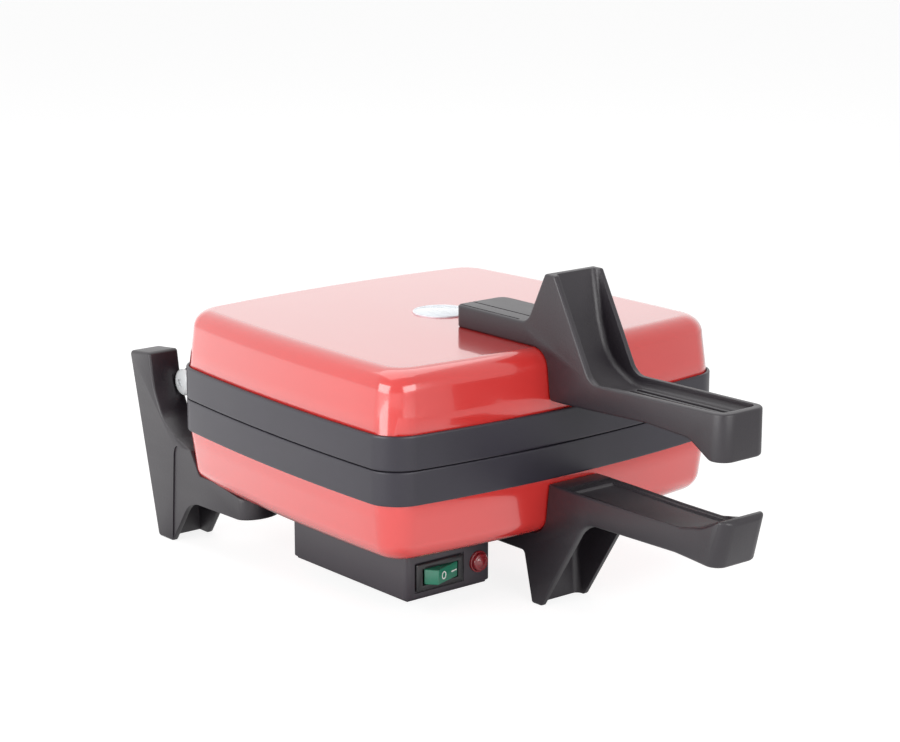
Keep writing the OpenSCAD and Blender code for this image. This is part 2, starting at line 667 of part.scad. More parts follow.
// Switch: rim and body behind the panel; the rocker turns in it.
rocker_l = switch_w - 8.4;
rocker_h = switch_h - 5.6;
body_l = 17;
pivot_y = box_y0 + 3.6;
trunnion_d = 2.6;
pin_out = 0.7;

module switch_frame() {
    color([0.1, 0.1, 0.11]) lower() translate([switch_x, box_y0 + 0.8, switch_z]) difference() {
        union() {
            translate([-switch_w / 2, -2, -switch_h / 2]) cube([switch_w, 2, switch_h]);
            translate([-switch_w / 2 + 1.8, -eps, -switch_h / 2 + 1.1])
                cube([switch_w - 3.6, body_l, switch_h - 2.2]);
            for (x = [-8, 0, 8]) translate([x - 0.4, body_l - eps, -2.4]) cube([0.8, 7, 4.8]);
        }
        translate([-rocker_l / 2 - 0.35, -3, -rocker_h / 2 - 0.2]) cube([rocker_l + 0.7, 14, rocker_h + 0.4]);
        translate([0, 2.8, -switch_h / 2]) cylinder(d = trunnion_d + 2 * pin_play, h = switch_h);
    }
}

module rocker() {
    l = rocker_l / 2 - 0.1;
    color([0.02, 0.45, 0.28]) lower() translate([switch_x, pivot_y, switch_z]) rotate([0, 0, rocker_tilt]) {
        translate([0, 0, -rocker_h / 2]) linear_extrude(rocker_h)
            polygon([[-l + 0.5, -2.4], [-l + 3, -7.8], [-l + 4, -8.1], [0, -5.4], [l - 4, -8.1], [l - 3, -7.8],
                [l - 0.5, -2.4], [l - 1.4, -1], [5, 1.4], [4, 4], [-4, 4], [-5, 1.4], [-l + 1.4, -1]]);
        bore(trunnion_d, -rocker_h / 2 - pin_out, rocker_h / 2 + pin_out);
    }
}

module lamp_ring() {
    color([0.55, 0.1, 0.1]) lower() translate([lamp_x, box_y0, lamp_z]) rotate([90, 0, 0]) rotate_extrude()
        polygon([[lamp_d / 2 - 1.6, 0.005], [lamp_d / 2 + 0.8, 0.005], [lamp_d / 2 + 0.8, 0.8],
            [lamp_d / 2 + 0.2, 1.6], [lamp_d / 2 - 0.6, 1.6], [lamp_d / 2 - 1.6, 1.2]]);
}

module lamp_lens() {
    r = lamp_d / 2 - 1.65;
    color([0.85, 0.05, 0.08]) lower() translate([lamp_x, box_y0, lamp_z]) rotate([90, 0, 0]) rotate_extrude()
        polygon(concat([[0, -8], [r - 0.2, -8], [r - 0.2, -wall], [r - 0.2, 0], [r, 0.01], [r, 1.6]],
            [for (a = [15:15:90]) [r * cos(a), 1.6 + 3 * sin(a)]]));
}

module lamp_body() {
    r = lamp_d / 2 - 1.65;
    color([0.92, 0.92, 0.9]) lower() translate([lamp_x, box_y0, lamp_z]) rotate([-90, 0, 0]) {
        rotate_extrude()
            polygon([[r - 0.1, wall + eps], [r + 1.2, wall + eps], [r + 1.2, 12], [0, 12], [0, 8.01],
                [r - 0.1, 8.01]]);
        for (s = [-1, 1]) translate([s * 2.4 - 0.3, -1.5, 12 - eps]) cube([0.6, 3, 6]);
    }
}

// Plain inlet bush in the back wall of the box.
module inlet_bush() {
    color([0.12, 0.12, 0.12]) lower() translate([-box_x, box_y0 + box_l, shell_h + 16]) rotate([-90, 0, 0])
        rotate_extrude() polygon([[3.4, -wall - 3], [6.8, -wall - 3], [6.8, -wall - 0.02], [5.4, -wall - 0.02],
            [5.4, 0.02], [7.4, 0.02], [7.4, 2.6], [6, 4], [3.4, 4]]);
}

/* Lid badge */
badge_r = 16;
module lid_badge() {
    color([0.82, 0.88, 0.93]) upper() translate([0, 0, shell_h + 0.02]) rotate_extrude()
        polygon([[0, 0], [badge_r, 0], [badge_r, 0.5], [badge_r - 0.5, 0.9], [0, 0.9]]);
}

upper_shell();
upper_band();
upper_plate();
upper_heater();
upper_tray();
upper_plate_screws();
upper_terminals();
thermal_cutout();
upper_handle();
upper_handle_screws();
lid_badge();
lower_shell();
lower_band();
lower_plate();
lower_heater();
lower_tray();
lower_plate_screws();
lower_terminals();
thermostat();
earth_tag();
lower_handle();
lower_handle_screws();
left_bracket();
right_bracket();
bracket_screws();
left_hinge_screw();
right_hinge_screw();
hinge_nuts();
control_box();
box_cover();
cover_screws();
box_screws();
switch_frame();
rocker();
lamp_ring();
lamp_lens();
lamp_body();
inlet_bush();
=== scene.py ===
"""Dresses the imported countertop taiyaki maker: smooth shells, moulded grips, moulds, control box and finishes.

Lengths are written in millimetres in the body frame, whose origin is the middle of the seam between the two
halves: X to the right, Y to the hinge, Z up. The lower half is drawn upside down and mirrored when it is placed.
"""

import logging
import math
from dataclasses import dataclass, field
from enum import Enum
from typing import Callable, Iterable, Sequence

import bmesh
import bpy
from mathutils import Matrix, Vector

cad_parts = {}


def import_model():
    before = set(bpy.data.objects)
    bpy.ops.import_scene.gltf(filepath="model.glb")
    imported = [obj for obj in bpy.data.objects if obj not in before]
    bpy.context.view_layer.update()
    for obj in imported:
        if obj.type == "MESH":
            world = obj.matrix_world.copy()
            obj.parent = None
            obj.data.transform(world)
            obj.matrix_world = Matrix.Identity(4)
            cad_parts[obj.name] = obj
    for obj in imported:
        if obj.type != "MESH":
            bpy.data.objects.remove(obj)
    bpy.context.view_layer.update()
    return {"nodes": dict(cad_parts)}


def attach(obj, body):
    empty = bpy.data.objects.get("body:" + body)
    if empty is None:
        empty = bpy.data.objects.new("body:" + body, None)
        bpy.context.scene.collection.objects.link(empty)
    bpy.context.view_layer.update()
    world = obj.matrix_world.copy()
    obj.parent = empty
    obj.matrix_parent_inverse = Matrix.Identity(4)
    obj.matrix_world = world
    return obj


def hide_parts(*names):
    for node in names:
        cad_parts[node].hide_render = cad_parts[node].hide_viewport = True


LOG = logging.getLogger("taiyaki_maker")
MM = 0.001
Point = tuple[float, float]


class Half(Enum):
    """The half that a piece belongs to, by the sign of its height."""

    UPPER = 1
    LOWER = -1


class Body(Enum):
    """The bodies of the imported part."""

    BASE = "base"
    LID = "lid"
    ROCKER = "switch_rocker"


class Cut(Enum):
    """How one solid works on another."""

    KEEP = "INTERSECT"
    REMOVE = "DIFFERENCE"
    ADD = "UNION"


@dataclass(frozen=True)
class Layout:
    """Sizes of the body that many pieces share, in millimetres."""

    half_w: float = 118.0
    half_d: float = 113.0
    corner: float = 16.4
    side_bow: float = 0.037
    front_bow: float = 0.086
    back_taper: float = 0.04
    band_h: float = 18.5
    shell_h: float = 50.6
    edge_r: float = 11.2
    draft: float = math.radians(7)
    step_in: float = 1.6
    rabbet: float = 2.0
    seam: float = 0.6
    leg_h: float = 91.0
    bar_t: float = 12.4
    grip_w: float = 17.5
    tip_w: float = 15.9
    rib_t: float = 3.4
    y_shift: float = 40.65
    tip_y: float = -235.7
    arm_x: float = 107.29
    leg_w: float = 29.0
    arm_w: float = 20.0
    axis_y: float = 126.5

    @property
    def front(self) -> float:
        """Y of the bands' front."""
        return -self.half_d

    @property
    def wall_top(self) -> float:
        """Height at which the shell's wall turns into its rounded edge."""
        return self.shell_h - self.edge_r

    def wall_inset(self, height: float) -> float:
        """Distance inwards of the shell's wall at a height.

        Args:
            height: Height over the seam.

        Returns:
            The distance from the bands' outline.
        """
        return self.step_in + (height - self.band_h + self.rabbet) * math.tan(self.draft)

    def plan(self, inset: float, corner_n: int = 10, side_n: int = 9) -> list[Point]:
        """Outline of the body in plan: a rounded rectangle with bowed sides and a narrower hinge side.

        Args:
            inset: Distance inwards from the bands' outline.
            corner_n: Steps in each corner.
            side_n: Points between the corners on each side.

        Returns:
            The outline's points, anticlockwise.
        """
        r = max(self.corner - 0.45 * inset, 5)
        flat: list[Point] = []
        corners = []
        for k in range(4):
            sx, sy = (1 if k in (0, 3) else -1), (1 if k < 2 else -1)
            corners.append([(sx * (self.half_w - inset - r) + r * math.cos(math.radians(90 * (k + j / corner_n))),
                             sy * (self.half_d - inset - r) + r * math.sin(math.radians(90 * (k + j / corner_n))))
                            for j in range(corner_n + 1)])
        for k in range(4):
            (ax, ay), (bx, by) = corners[k][-1], corners[(k + 1) % 4][0]
            flat += corners[k]
            flat += [(ax + (bx - ax) * t / (side_n + 1), ay + (by - ay) * t / (side_n + 1))
                     for t in range(1, side_n + 1)]
        out = []
        for x, y in flat:
            u, v = x / self.half_w, y / self.half_d
            out.append((x * (1 - self.side_bow * v * v) * (1 - self.back_taper * v),
                        y * (1 - self.front_bow * u * u)))
        return out

    def shell_rings(self, inset: float, steps: int = 12) -> list[Point]:
        """Section of the shell from its rim to its flat.

        Args:
            inset: Depth under the outer skin.
            steps: Steps round the edge.

        Returns:
            Pairs of distance inwards and height.
        """
        rim = self.band_h - self.rabbet
        r = self.edge_r - inset
        side = self.wall_inset(self.wall_top)
        arc = []
        for k in range(steps + 1):
            a = math.radians(90 * k / steps)
            arc.append((side + inset + r * (1 - math.cos(a)), self.wall_top + r * math.sin(a)))
        middle = (self.wall_inset((rim + self.wall_top) / 2) + inset, (rim + self.wall_top) / 2)
        return [(self.step_in + inset, rim), middle] + arc


LAY = Layout()


# Meshes


def ring(bm: bmesh.types.BMesh, points: Iterable[Sequence[float]]) -> list[bmesh.types.BMEdge]:
    """Adds a closed ring of edges to a mesh.

    Args:
        bm: The mesh to add to.
        points: The ring's points in order.

    Returns:
        The new edges.
    """
    verts = [bm.verts.new(p) for p in points]
    return [bm.edges.new((verts[k], verts[(k + 1) % len(verts)])) for k in range(len(verts))]


def outward(bm: bmesh.types.BMesh) -> bmesh.types.BMesh:
    """Turns every face of a closed mesh outwards and returns the mesh."""
    bmesh.ops.recalc_face_normals(bm, faces=bm.faces[:])
    return bm


def loft(rings: Sequence[Iterable[Sequence[float]]], closed: bool = False) -> bmesh.types.BMesh:
    """Joins rings of equal length by strips of faces.

    Args:
        rings: The rings, each a list of points in order.
        closed: Whether the last ring joins the first; otherwise both ends get a face.

    Returns:
        A closed mesh.
    """
    bm = bmesh.new()
    loops = [ring(bm, r) for r in rings]
    for a, b in zip(loops, loops[1:] + (loops[:1] if closed else [])):
        for near, far in zip(a, b):
            bm.faces.new((near.verts[0], near.verts[1], far.verts[1], far.verts[0]))
    if not closed:
        for loop in (loops[0], loops[-1]):
            bmesh.ops.contextual_create(bm, geom=loop)
    return outward(bm)


def prism(outline: Sequence[Point], axis: str, low: float, high: float) -> bmesh.types.BMesh:
    """Extrudes a flat outline along an axis.

    Args:
        outline: Points in the plane across the axis, in X, Y, Z order of the other two.
        axis: X, Y or Z.
        low: Where the solid starts on the axis.
        high: Where it ends.

    Returns:
        A closed mesh.
    """
    at: dict[str, Callable[[Point], tuple[float, float, float]]] = {
        "X": lambda p: (low, p[0], p[1]), "Y": lambda p: (p[0], low, p[1]), "Z": lambda p: (p[0], p[1], low)}
    bm = bmesh.new()
    face = bm.faces.new([bm.verts.new(at[axis](p)) for p in outline])
    grown = bmesh.ops.extrude_face_region(bm, geom=[face])
    move = Vector((axis == "X", axis == "Y", axis == "Z")) * (high - low)
    bmesh.ops.translate(bm, verts=[v for v in grown["geom"] if isinstance(v, bmesh.types.BMVert)], vec=move)
    return outward(bm)


def block(low: Sequence[float], high: Sequence[float], radius: float = 0.0, segments: int = 3) -> bmesh.types.BMesh:
    """Makes a box between two corners with rounded edges.

    Args:
        low: Lowest corner.
        high: Highest corner.
        radius: Radius of the edges.
        segments: Steps round each edge.

    Returns:
        A closed mesh.
    """
    bm = bmesh.new()
    lo, hi = Vector(low), Vector(high)
    bmesh.ops.create_cube(bm, size=1.0, matrix=Matrix.Translation((lo + hi) / 2) @ Matrix.Diagonal((*(hi - lo), 1)))
    if radius:
        bmesh.ops.bevel(bm, geom=bm.edges[:], offset=radius, segments=segments, profile=0.5, affect="EDGES",
                        material=-1)
    return bm


def turned(section: Sequence[Point], matrix: Matrix, steps: int = 48) -> bmesh.types.BMesh:
    """Turns a section of radius and height round its own axis.

    Args:
        section: Pairs of radius and height; the ends lie on the axis or the section is a closed ring.
        matrix: Where the axis goes.
        steps: Steps round the axis.

    Returns:
        A closed mesh.
    """
    bm = bmesh.new()
    verts = [bm.verts.new((r, 0, z)) for r, z in section]
    edges = [bm.edges.new(pair) for pair in zip(verts, verts[1:])]
    if section[0][0] > 1e-6 or section[-1][0] > 1e-6:
        edges.append(bm.edges.new((verts[-1], verts[0])))
    bmesh.ops.spin(bm, geom=verts + edges, cent=(0, 0, 0), axis=(0, 0, 1), angle=math.tau, steps=steps,
                   use_merge=True)
    bmesh.ops.remove_doubles(bm, verts=bm.verts[:], dist=1e-4)
    bmesh.ops.transform(bm, matrix=matrix, verts=bm.verts[:])
    return outward(bm)


def rod(radius: float, start: Sequence[float], end: Sequence[float], steps: int = 32) -> bmesh.types.BMesh:
    """Makes a round bar between two points.

    Args:
        radius: The bar's radius.
        start: Middle of one end.
        end: Middle of the other end.
        steps: Sides of the bar.

    Returns:
        A closed mesh.
    """
    a, b = Vector(start), Vector(end)
    turn = (b - a).to_track_quat("Z", "Y").to_matrix().to_4x4()
    bm = bmesh.new()
    bmesh.ops.create_cone(bm, cap_ends=True, segments=steps, radius1=radius, radius2=radius, depth=(b - a).length,
                          matrix=Matrix.Translation((a + b) / 2) @ turn)
    return bm


def joined(parts: Iterable[bmesh.types.BMesh]) -> bmesh.types.BMesh:
    """Puts several meshes into one.

    Args:
        parts: The meshes, which are used up.

    Returns:
        One mesh that holds them all.
    """
    bm = bmesh.new()
    for part in parts:
        mesh = bpy.data.meshes.new("part")
        part.to_mesh(mesh)
        part.free()
        bm.from_mesh(mesh)
        bpy.data.meshes.remove(mesh)
    return bm


def _object(bm: bmesh.types.BMesh, name: str) -> bpy.types.Object:
    """Makes a scene object of a mesh and frees the mesh."""
    mesh = bpy.data.meshes.new(name)
    bm.to_mesh(mesh)
    bm.free()
    obj = bpy.data.objects.new(name, mesh)
    bpy.context.scene.collection.objects.link(obj)
    return obj


def worked(base: bmesh.types.BMesh, steps: Sequence[tuple[Cut, bmesh.types.BMesh]]) -> bmesh.types.BMesh:
    """Cuts, keeps or adds solids one after the other.

    Args:
        base: The solid that is worked on.
        steps: What is done with which solid, in order.

    Returns:
        The finished solid, tidied of doubled points and needless edges.
    """
    obj = _object(base, "work")
    tools = []
    for how, shape in steps:
        tool = _object(shape, "tool")
        mod = obj.modifiers.new("step", "BOOLEAN")
        mod.operation, mod.object, mod.solver = how.value, tool, "EXACT"
        tools.append(tool)
    graph = bpy.context.evaluated_depsgraph_get()
    bm = bmesh.new()
    bm.from_object(obj, graph)
    for o in [obj] + tools:
        mesh = o.data
        bpy.data.objects.remove(o)
        bpy.data.meshes.remove(mesh)
    bmesh.ops.remove_doubles(bm, verts=bm.verts[:], dist=0.01)
    bmesh.ops.dissolve_limit(bm, angle_limit=math.radians(0.4), verts=bm.verts[:], edges=bm.edges[:])
    return bm


def eased(bm: bmesh.types.BMesh, radius: float, angle: float = 28.0, segments: int = 3,
          where: Callable[[Vector], bool] = lambda _: True) -> bmesh.types.BMesh:
    """Rounds the edges that are sharper than an angle.

    Args:
        bm: The mesh to round.
        radius: How far the rounding reaches from each edge.
        angle: Least angle between the faces, in degrees.
        segments: Steps across the rounding.
        where: Picks edges by their middle.

    Returns:
        The same mesh.
    """
    sharp = [e for e in bm.edges if len(e.link_faces) == 2 and e.calc_face_angle(0) > math.radians(angle)
             and where((e.verts[0].co + e.verts[1].co) / 2)]
    bmesh.ops.bevel(bm, geom=sharp, offset=radius, segments=segments, profile=0.5, affect="EDGES", material=-1,
                    clamp_overlap=False)
    bmesh.ops.remove_doubles(bm, verts=bm.verts[:], dist=0.004)
    return bm


@dataclass
class Piece:
    """One visible piece and what it stands for."""

    name: str
    body: Body
    slot: str
    stands_for: tuple[str, ...] = ()
    half: Half = Half.UPPER
    smooth: float = 34.0

    def settle(self, bm: bmesh.types.BMesh, material: bpy.types.Material) -> bpy.types.Object:
        """Places a mesh in the row frame, dresses it and gives it to its body.

        Args:
            bm: The mesh, in the body frame and in millimetres.
            material: Its finish.

        Returns:
            The scene object, at the origin.
        """
        flip = Matrix.Diagonal((1, 1, self.half.value, 1))
        place = Matrix.Scale(MM, 4) @ Matrix.Translation((0, LAY.y_shift, LAY.leg_h)) @ flip
        bmesh.ops.transform(bm, matrix=place, verts=bm.verts[:])
        outward(bm)
        obj = _object(bm, self.name)
        obj.data.materials.append(material)
        for poly in obj.data.polygons:
            poly.use_smooth = True
            poly.material_index = 0
        obj.data.set_sharp_from_angle(angle=math.radians(self.smooth))
        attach(obj, self.body.value)
        if self.stands_for:
            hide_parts(*self.stands_for)
        LOG.info("%s: %d faces", self.name, len(obj.data.polygons))
        return obj


# Finishes


class Sketch:
    """A node tree under construction."""

    def __init__(self, tree: bpy.types.NodeTree) -> None:
        """Starts on a tree."""
        self.tree = tree

    def add(self, kind: str, **settings: object) -> bpy.types.Node:
        """Adds a node.

        Args:
            kind: The node's type name.
            settings: Its own settings.

        Returns:
            The node.
        """
        node = self.tree.nodes.new(kind)
        for key, value in settings.items():
            setattr(node, key, value)
        return node

    def put(self, value: object, socket: bpy.types.NodeSocket) -> None:
        """Links an output to a socket, or sets the socket's value."""
        if isinstance(value, bpy.types.NodeSocket):
            self.tree.links.new(value, socket)
        else:
            socket.default_value = value

    def maths(self, how: str, a: object, b: object = 0.0) -> bpy.types.NodeSocket:
        """Adds a maths node and returns its output."""
        node = self.add("ShaderNodeMath", operation=how)
        self.put(a, node.inputs[0])
        self.put(b, node.inputs[1])
        return node.outputs[0]

    def noise(self, at: object, scale: object, detail: float = 3.0, rough: float = 0.5) -> bpy.types.NodeSocket:
        """Adds a noise texture and returns its value."""
        node = self.add("ShaderNodeTexNoise")
        self.put(at, node.inputs["Vector"])
        self.put(scale, node.inputs["Scale"])
        node.inputs["Detail"].default_value = detail
        node.inputs["Roughness"].default_value = rough
        return node.outputs["Fac"]

    def span(self, value: object, low: float, high: float, to_low: object, to_high: object) -> bpy.types.NodeSocket:
        """Adds a map range node and returns its result."""
        node = self.add("ShaderNodeMapRange")
        for socket, v in zip(node.inputs, (value, low, high, to_low, to_high)):
            self.put(v, socket)
        return node.outputs["Result"]

    def mix(self, share: object, a: object, b: object, how: str = "MIX") -> bpy.types.NodeSocket:
        """Adds a colour mix node and returns its result."""
        node = self.add("ShaderNodeMix", data_type="RGBA", blend_type=how)
        self.put(share, node.inputs[0])
        self.put(a, node.inputs[6])
        self.put(b, node.inputs[7])
        return node.outputs[2]


def _group(name: str, inputs: Sequence[tuple[str, str, object]], outputs: Sequence[tuple[str, str]]) -> tuple[
        bpy.types.NodeTree, Sketch, bpy.types.Node, bpy.types.Node]:
    """Makes an empty shader group with named sockets.

    Args:
        name: The group's name.
        inputs: Name, socket type and default of each input.
        outputs: Name and socket type of each output.

    Returns:
        The group, a sketch on it, and its input and output nodes.
    """
    tree = bpy.data.node_groups.new(name, "ShaderNodeTree")
    for label, kind, default in inputs:
        socket = tree.interface.new_socket(label, in_out="INPUT", socket_type=kind)
        if default is not None:
            socket.default_value = default
    for label, kind in outputs:
        tree.interface.new_socket(label, in_out="OUTPUT", socket_type=kind)
    sketch = Sketch(tree)
    return tree, sketch, sketch.add("NodeGroupInput"), sketch.add("NodeGroupOutput")


class Effects:
    """Shader groups that several finishes share."""

    def __init__(self) -> None:
        """Builds each group once."""
        self.mottle = self._mottle()
        self.grain = self._grain()
        self.dust = self._dust()
        self.scuff = self._scuff()

    @staticmethod
    def _mottle() -> bpy.types.NodeTree:
        """Slow drift of a colour over a surface."""
        tree, s, i, o = _group("colour_drift", [("At", "NodeSocketVector", None), ("Colour", "NodeSocketColor", None),
                               ("Amount", "NodeSocketFloat", 0.1), ("Scale", "NodeSocketFloat", 20.0)],
                               [("Colour", "NodeSocketColor")])
        slow = s.noise(i.outputs["At"], i.outputs["Scale"], 4.0, 0.55)
        light = s.span(slow, 0.3, 0.7, s.maths("SUBTRACT", 1.0, i.outputs["Amount"]),
                       s.maths("ADD", 1.0, i.outputs["Amount"]))
        s.put(s.mix(1.0, i.outputs["Colour"], light, "MULTIPLY"), o.inputs["Colour"])
        return tree

    @staticmethod
    def _grain() -> bpy.types.NodeTree:
        """Height of a moulded or sprayed skin: fine pebbles on a slow wave."""
        tree, s, i, o = _group("skin_grain", [("At", "NodeSocketVector", None), ("Pebble", "NodeSocketFloat", 900.0),
                               ("Wave", "NodeSocketFloat", 60.0), ("Share", "NodeSocketFloat", 0.5)],
                               [("Height", "NodeSocketFloat"), ("Pits", "NodeSocketFloat")])
        cells = s.add("ShaderNodeTexVoronoi", feature="SMOOTH_F1")
        s.put(i.outputs["At"], cells.inputs["Vector"])
        s.put(i.outputs["Pebble"], cells.inputs["Scale"])
        fine = s.noise(i.outputs["At"], s.maths("MULTIPLY", i.outputs["Pebble"], 1.7), 2.0, 0.6)
        wave = s.noise(i.outputs["At"], i.outputs["Wave"], 2.0, 0.4)
        pebbles = s.maths("ADD", s.maths("MULTIPLY", cells.outputs["Distance"], 0.8), s.maths("MULTIPLY", fine, 0.5))
        rest = s.maths("SUBTRACT", 1.0, i.outputs["Share"])
        height = s.maths("ADD", s.maths("MULTIPLY", pebbles, i.outputs["Share"]), s.maths("MULTIPLY", wave, rest))
        s.put(height, o.inputs["Height"])
        s.put(s.span(fine, 0.55, 0.75, 0.0, 1.0), o.inputs["Pits"])
        return tree

    @staticmethod
    def _dust() -> bpy.types.NodeTree:
        """Thin pale dust that lies on faces that look up."""
        tree, s, i, o = _group("settled_dust", [("At", "NodeSocketVector", None), ("Colour", "NodeSocketColor", None),
                               ("Amount", "NodeSocketFloat", 0.05)], [("Colour", "NodeSocketColor"),
                               ("Mask", "NodeSocketFloat")])
        normal = s.add("ShaderNodeNewGeometry").outputs["Normal"]
        apart = s.add("ShaderNodeSeparateXYZ")
        s.put(normal, apart.inputs[0])
        up = s.span(apart.outputs["Z"], 0.2, 1.0, 0.0, 1.0)
        patch = s.span(s.noise(i.outputs["At"], 55.0, 6.0, 0.7), 0.35, 0.75, 0.2, 1.0)
        mask = s.maths("MULTIPLY", s.maths("MULTIPLY", up, patch), i.outputs["Amount"])
        s.put(s.mix(mask, i.outputs["Colour"], (0.62, 0.6, 0.58, 1.0)), o.inputs["Colour"])
        s.put(mask, o.inputs["Mask"])
        return tree

    @staticmethod
    def _scuff() -> bpy.types.NodeTree:
        """Fine rubbed streaks that change how rough a skin is."""
        tree, s, i, o = _group("rubbed_streaks", [("At", "NodeSocketVector", None),
                               ("Roughness", "NodeSocketFloat", 0.4), ("Amount", "NodeSocketFloat", 0.1),
                               ("Scale", "NodeSocketFloat", 40.0)], [("Roughness", "NodeSocketFloat")])
        spread = s.add("ShaderNodeMapping")
        spread.inputs["Scale"].default_value = (1.0, 0.25, 1.0)
        s.put(i.outputs["At"], spread.inputs["Vector"])
        streak = s.noise(spread.outputs[0], i.outputs["Scale"], 6.0, 0.65)
        cloud = s.noise(i.outputs["At"], 14.0, 3.0, 0.5)
        both = s.maths("SUBTRACT", s.maths("ADD", streak, cloud), 1.0)
        drift = s.maths("MULTIPLY", both, s.maths("MULTIPLY", i.outputs["Amount"], 2.0))
        s.put(s.maths("ADD", i.outputs["Roughness"], drift), o.inputs["Roughness"])
        return tree


@dataclass(frozen=True)
class Finish:
    """How one surface is coloured and how it shines."""

    name: str
    colour: tuple[float, float, float]
    roughness: float
    drift: float = 0.05
    drift_scale: float = 25.0
    scuff: float = 0.06
    scuff_scale: float = 60.0
    pebble: float = 900.0
    wave: float = 60.0
    share: float = 0.6
    relief: float = 0.02
    metallic: float = 0.0
    coat: float = 0.0
    coat_roughness: float = 0.05
    dust: float = 0.03
    # Painted light: emission on a part that is no lamp.
    glow: float = 0.0
    through: float = 0.0
    ior: float = 1.5
    pits: float = 0.0

    def build(self, effects: Effects) -> bpy.types.Material:
        """Makes the material from the shared effects.

        Args:
            effects: The shader groups.

        Returns:
            The material.
        """
        material = bpy.data.materials.new(self.name)
        material.use_nodes = True
        tree = material.node_tree
        s = Sketch(tree)
        shader = tree.nodes["Principled BSDF"]
        at = s.add("ShaderNodeTexCoord").outputs["Object"]
        drift = self._use(s, effects.mottle, At=at, Colour=(*self.colour, 1.0), Amount=self.drift,
                          Scale=self.drift_scale)
        grain = self._use(s, effects.grain, At=at, Pebble=self.pebble, Wave=self.wave, Share=self.share)
        colour = drift.outputs["Colour"]
        if self.pits:
            share = s.maths("MULTIPLY", grain.outputs["Pits"], self.pits)
            colour = s.mix(share, colour, tuple(c * 0.45 for c in self.colour) + (1.0,))
        dust = self._use(s, effects.dust, At=at, Colour=colour, Amount=self.dust)
        s.put(dust.outputs["Colour"], shader.inputs["Base Color"])
        scuff = self._use(s, effects.scuff, At=at, Roughness=self.roughness, Amount=self.scuff,
                          Scale=self.scuff_scale)
        s.put(s.maths("ADD", scuff.outputs["Roughness"], s.maths("MULTIPLY", dust.outputs["Mask"], 0.4)),
              shader.inputs["Roughness"])
        bump = s.add("ShaderNodeBump")
        bump.inputs["Strength"].default_value = 1.0
        bump.inputs["Distance"].default_value = self.relief * MM
        s.put(grain.outputs["Height"], bump.inputs["Height"])
        s.put(bump.outputs["Normal"], shader.inputs["Normal"])
        shader.inputs["Metallic"].default_value = self.metallic
        shader.inputs["Coat Weight"].default_value = self.coat
        shader.inputs["Coat Roughness"].default_value = self.coat_roughness
        shader.inputs["IOR"].default_value = self.ior
        shader.inputs["Transmission Weight"].default_value = self.through
        # The glow is painted light: an emission on a part that is no lamp.
        if self.glow:
            shader.inputs["Emission Color"].default_value = (*self.colour, 1.0)
            shader.inputs["Emission Strength"].default_value = self.glow
        return material

    @staticmethod
    def _use(s: Sketch, tree: bpy.types.NodeTree, **values: object) -> bpy.types.Node:
        """Places a shader group in a material.

        Args:
            s: The material's sketch.
            tree: The group.
            values: Its inputs by name.

        Returns:
            The group node.
        """
        node = s.add("ShaderNodeGroup")
        node.node_tree = tree
        for key, value in values.items():
            s.put(value, node.inputs[key])
        return node


FINISHES = (
    Finish("red_enamel", (0.68, 0.027, 0.023), 0.2, drift=0.03, drift_scale=9.0, scuff=0.03, scuff_scale=30.0,
           pebble=420.0, wave=120.0, share=0.35, relief=0.02, coat=1.0, coat_roughness=0.04, dust=0.012, ior=1.65),
    Finish("band_plastic", (0.022, 0.019, 0.029), 0.38, drift=0.08, scuff=0.06, pebble=1100.0, relief=0.012,
           dust=0.02),
    Finish("grip_plastic", (0.015, 0.011, 0.016), 0.42, drift=0.1, scuff=0.08, pebble=950.0, share=0.85,
           relief=0.055, dust=0.022, pits=0.25, ior=1.6),
    Finish("box_plastic", (0.032, 0.026, 0.034), 0.4, drift=0.08, pebble=1000.0, share=0.8, relief=0.04, pits=0.2, ior=1.55),
    Finish("mould_coating", (0.05, 0.05, 0.053), 0.36, drift=0.18, drift_scale=40.0, scuff=0.12, pebble=700.0,
           share=0.7, relief=0.05, dust=0.02, pits=0.3),
    Finish("heater_tube", (0.3, 0.27, 0.24), 0.4, drift=0.35, drift_scale=60.0, metallic=1.0, relief=0.01),
    Finish("rolled_sheet", (0.72, 0.73, 0.75), 0.3, drift=0.06, scuff=0.16, scuff_scale=300.0, metallic=1.0,
           relief=0.006),
    Finish("zinc_plate", (0.62, 0.62, 0.64), 0.3, drift=0.1, metallic=1.0, relief=0.006),
    Finish("fired_ceramic", (0.82, 0.79, 0.72), 0.6, drift=0.05, pebble=600.0, relief=0.04, pits=0.15),
    Finish("control_body", (0.5, 0.46, 0.4), 0.5, drift=0.1, relief=0.02),
    Finish("tag_brass", (0.62, 0.44, 0.14), 0.3, drift=0.12, metallic=1.0, relief=0.006),
    Finish("white_coat", (0.68, 0.7, 0.71), 0.25, drift=0.02, coat=0.3, relief=0.006),
    Finish("badge_sheet", (0.84, 0.9, 0.96), 0.3, drift=0.03, scuff=0.1, scuff_scale=260.0, metallic=0.0,
           coat=1.0, relief=0.006),
    Finish("switch_plastic", (0.02, 0.02, 0.022), 0.25, drift=0.06, relief=0.01),
    # The rocker's faint green glow is painted light; the rocker is no lamp.
    Finish("rocker_green", (0.014, 0.17, 0.1), 0.24, drift=0.06, coat=0.5, relief=0.006, glow=0.03, ior=1.55),
    Finish("mark_white", (0.85, 0.88, 0.86), 0.4, drift=0.03, relief=0.004),
    Finish("lamp_red", (0.2, 0.006, 0.012), 0.2, drift=0.15, pebble=1400.0, share=0.9, coat=0.8, relief=0.14,
           ior=1.5),
    Finish("lamp_white", (0.84, 0.84, 0.82), 0.35, drift=0.03, relief=0.006),
    Finish("bush_rubber", (0.02, 0.02, 0.02), 0.6, drift=0.1, relief=0.02),
)


# Outlines


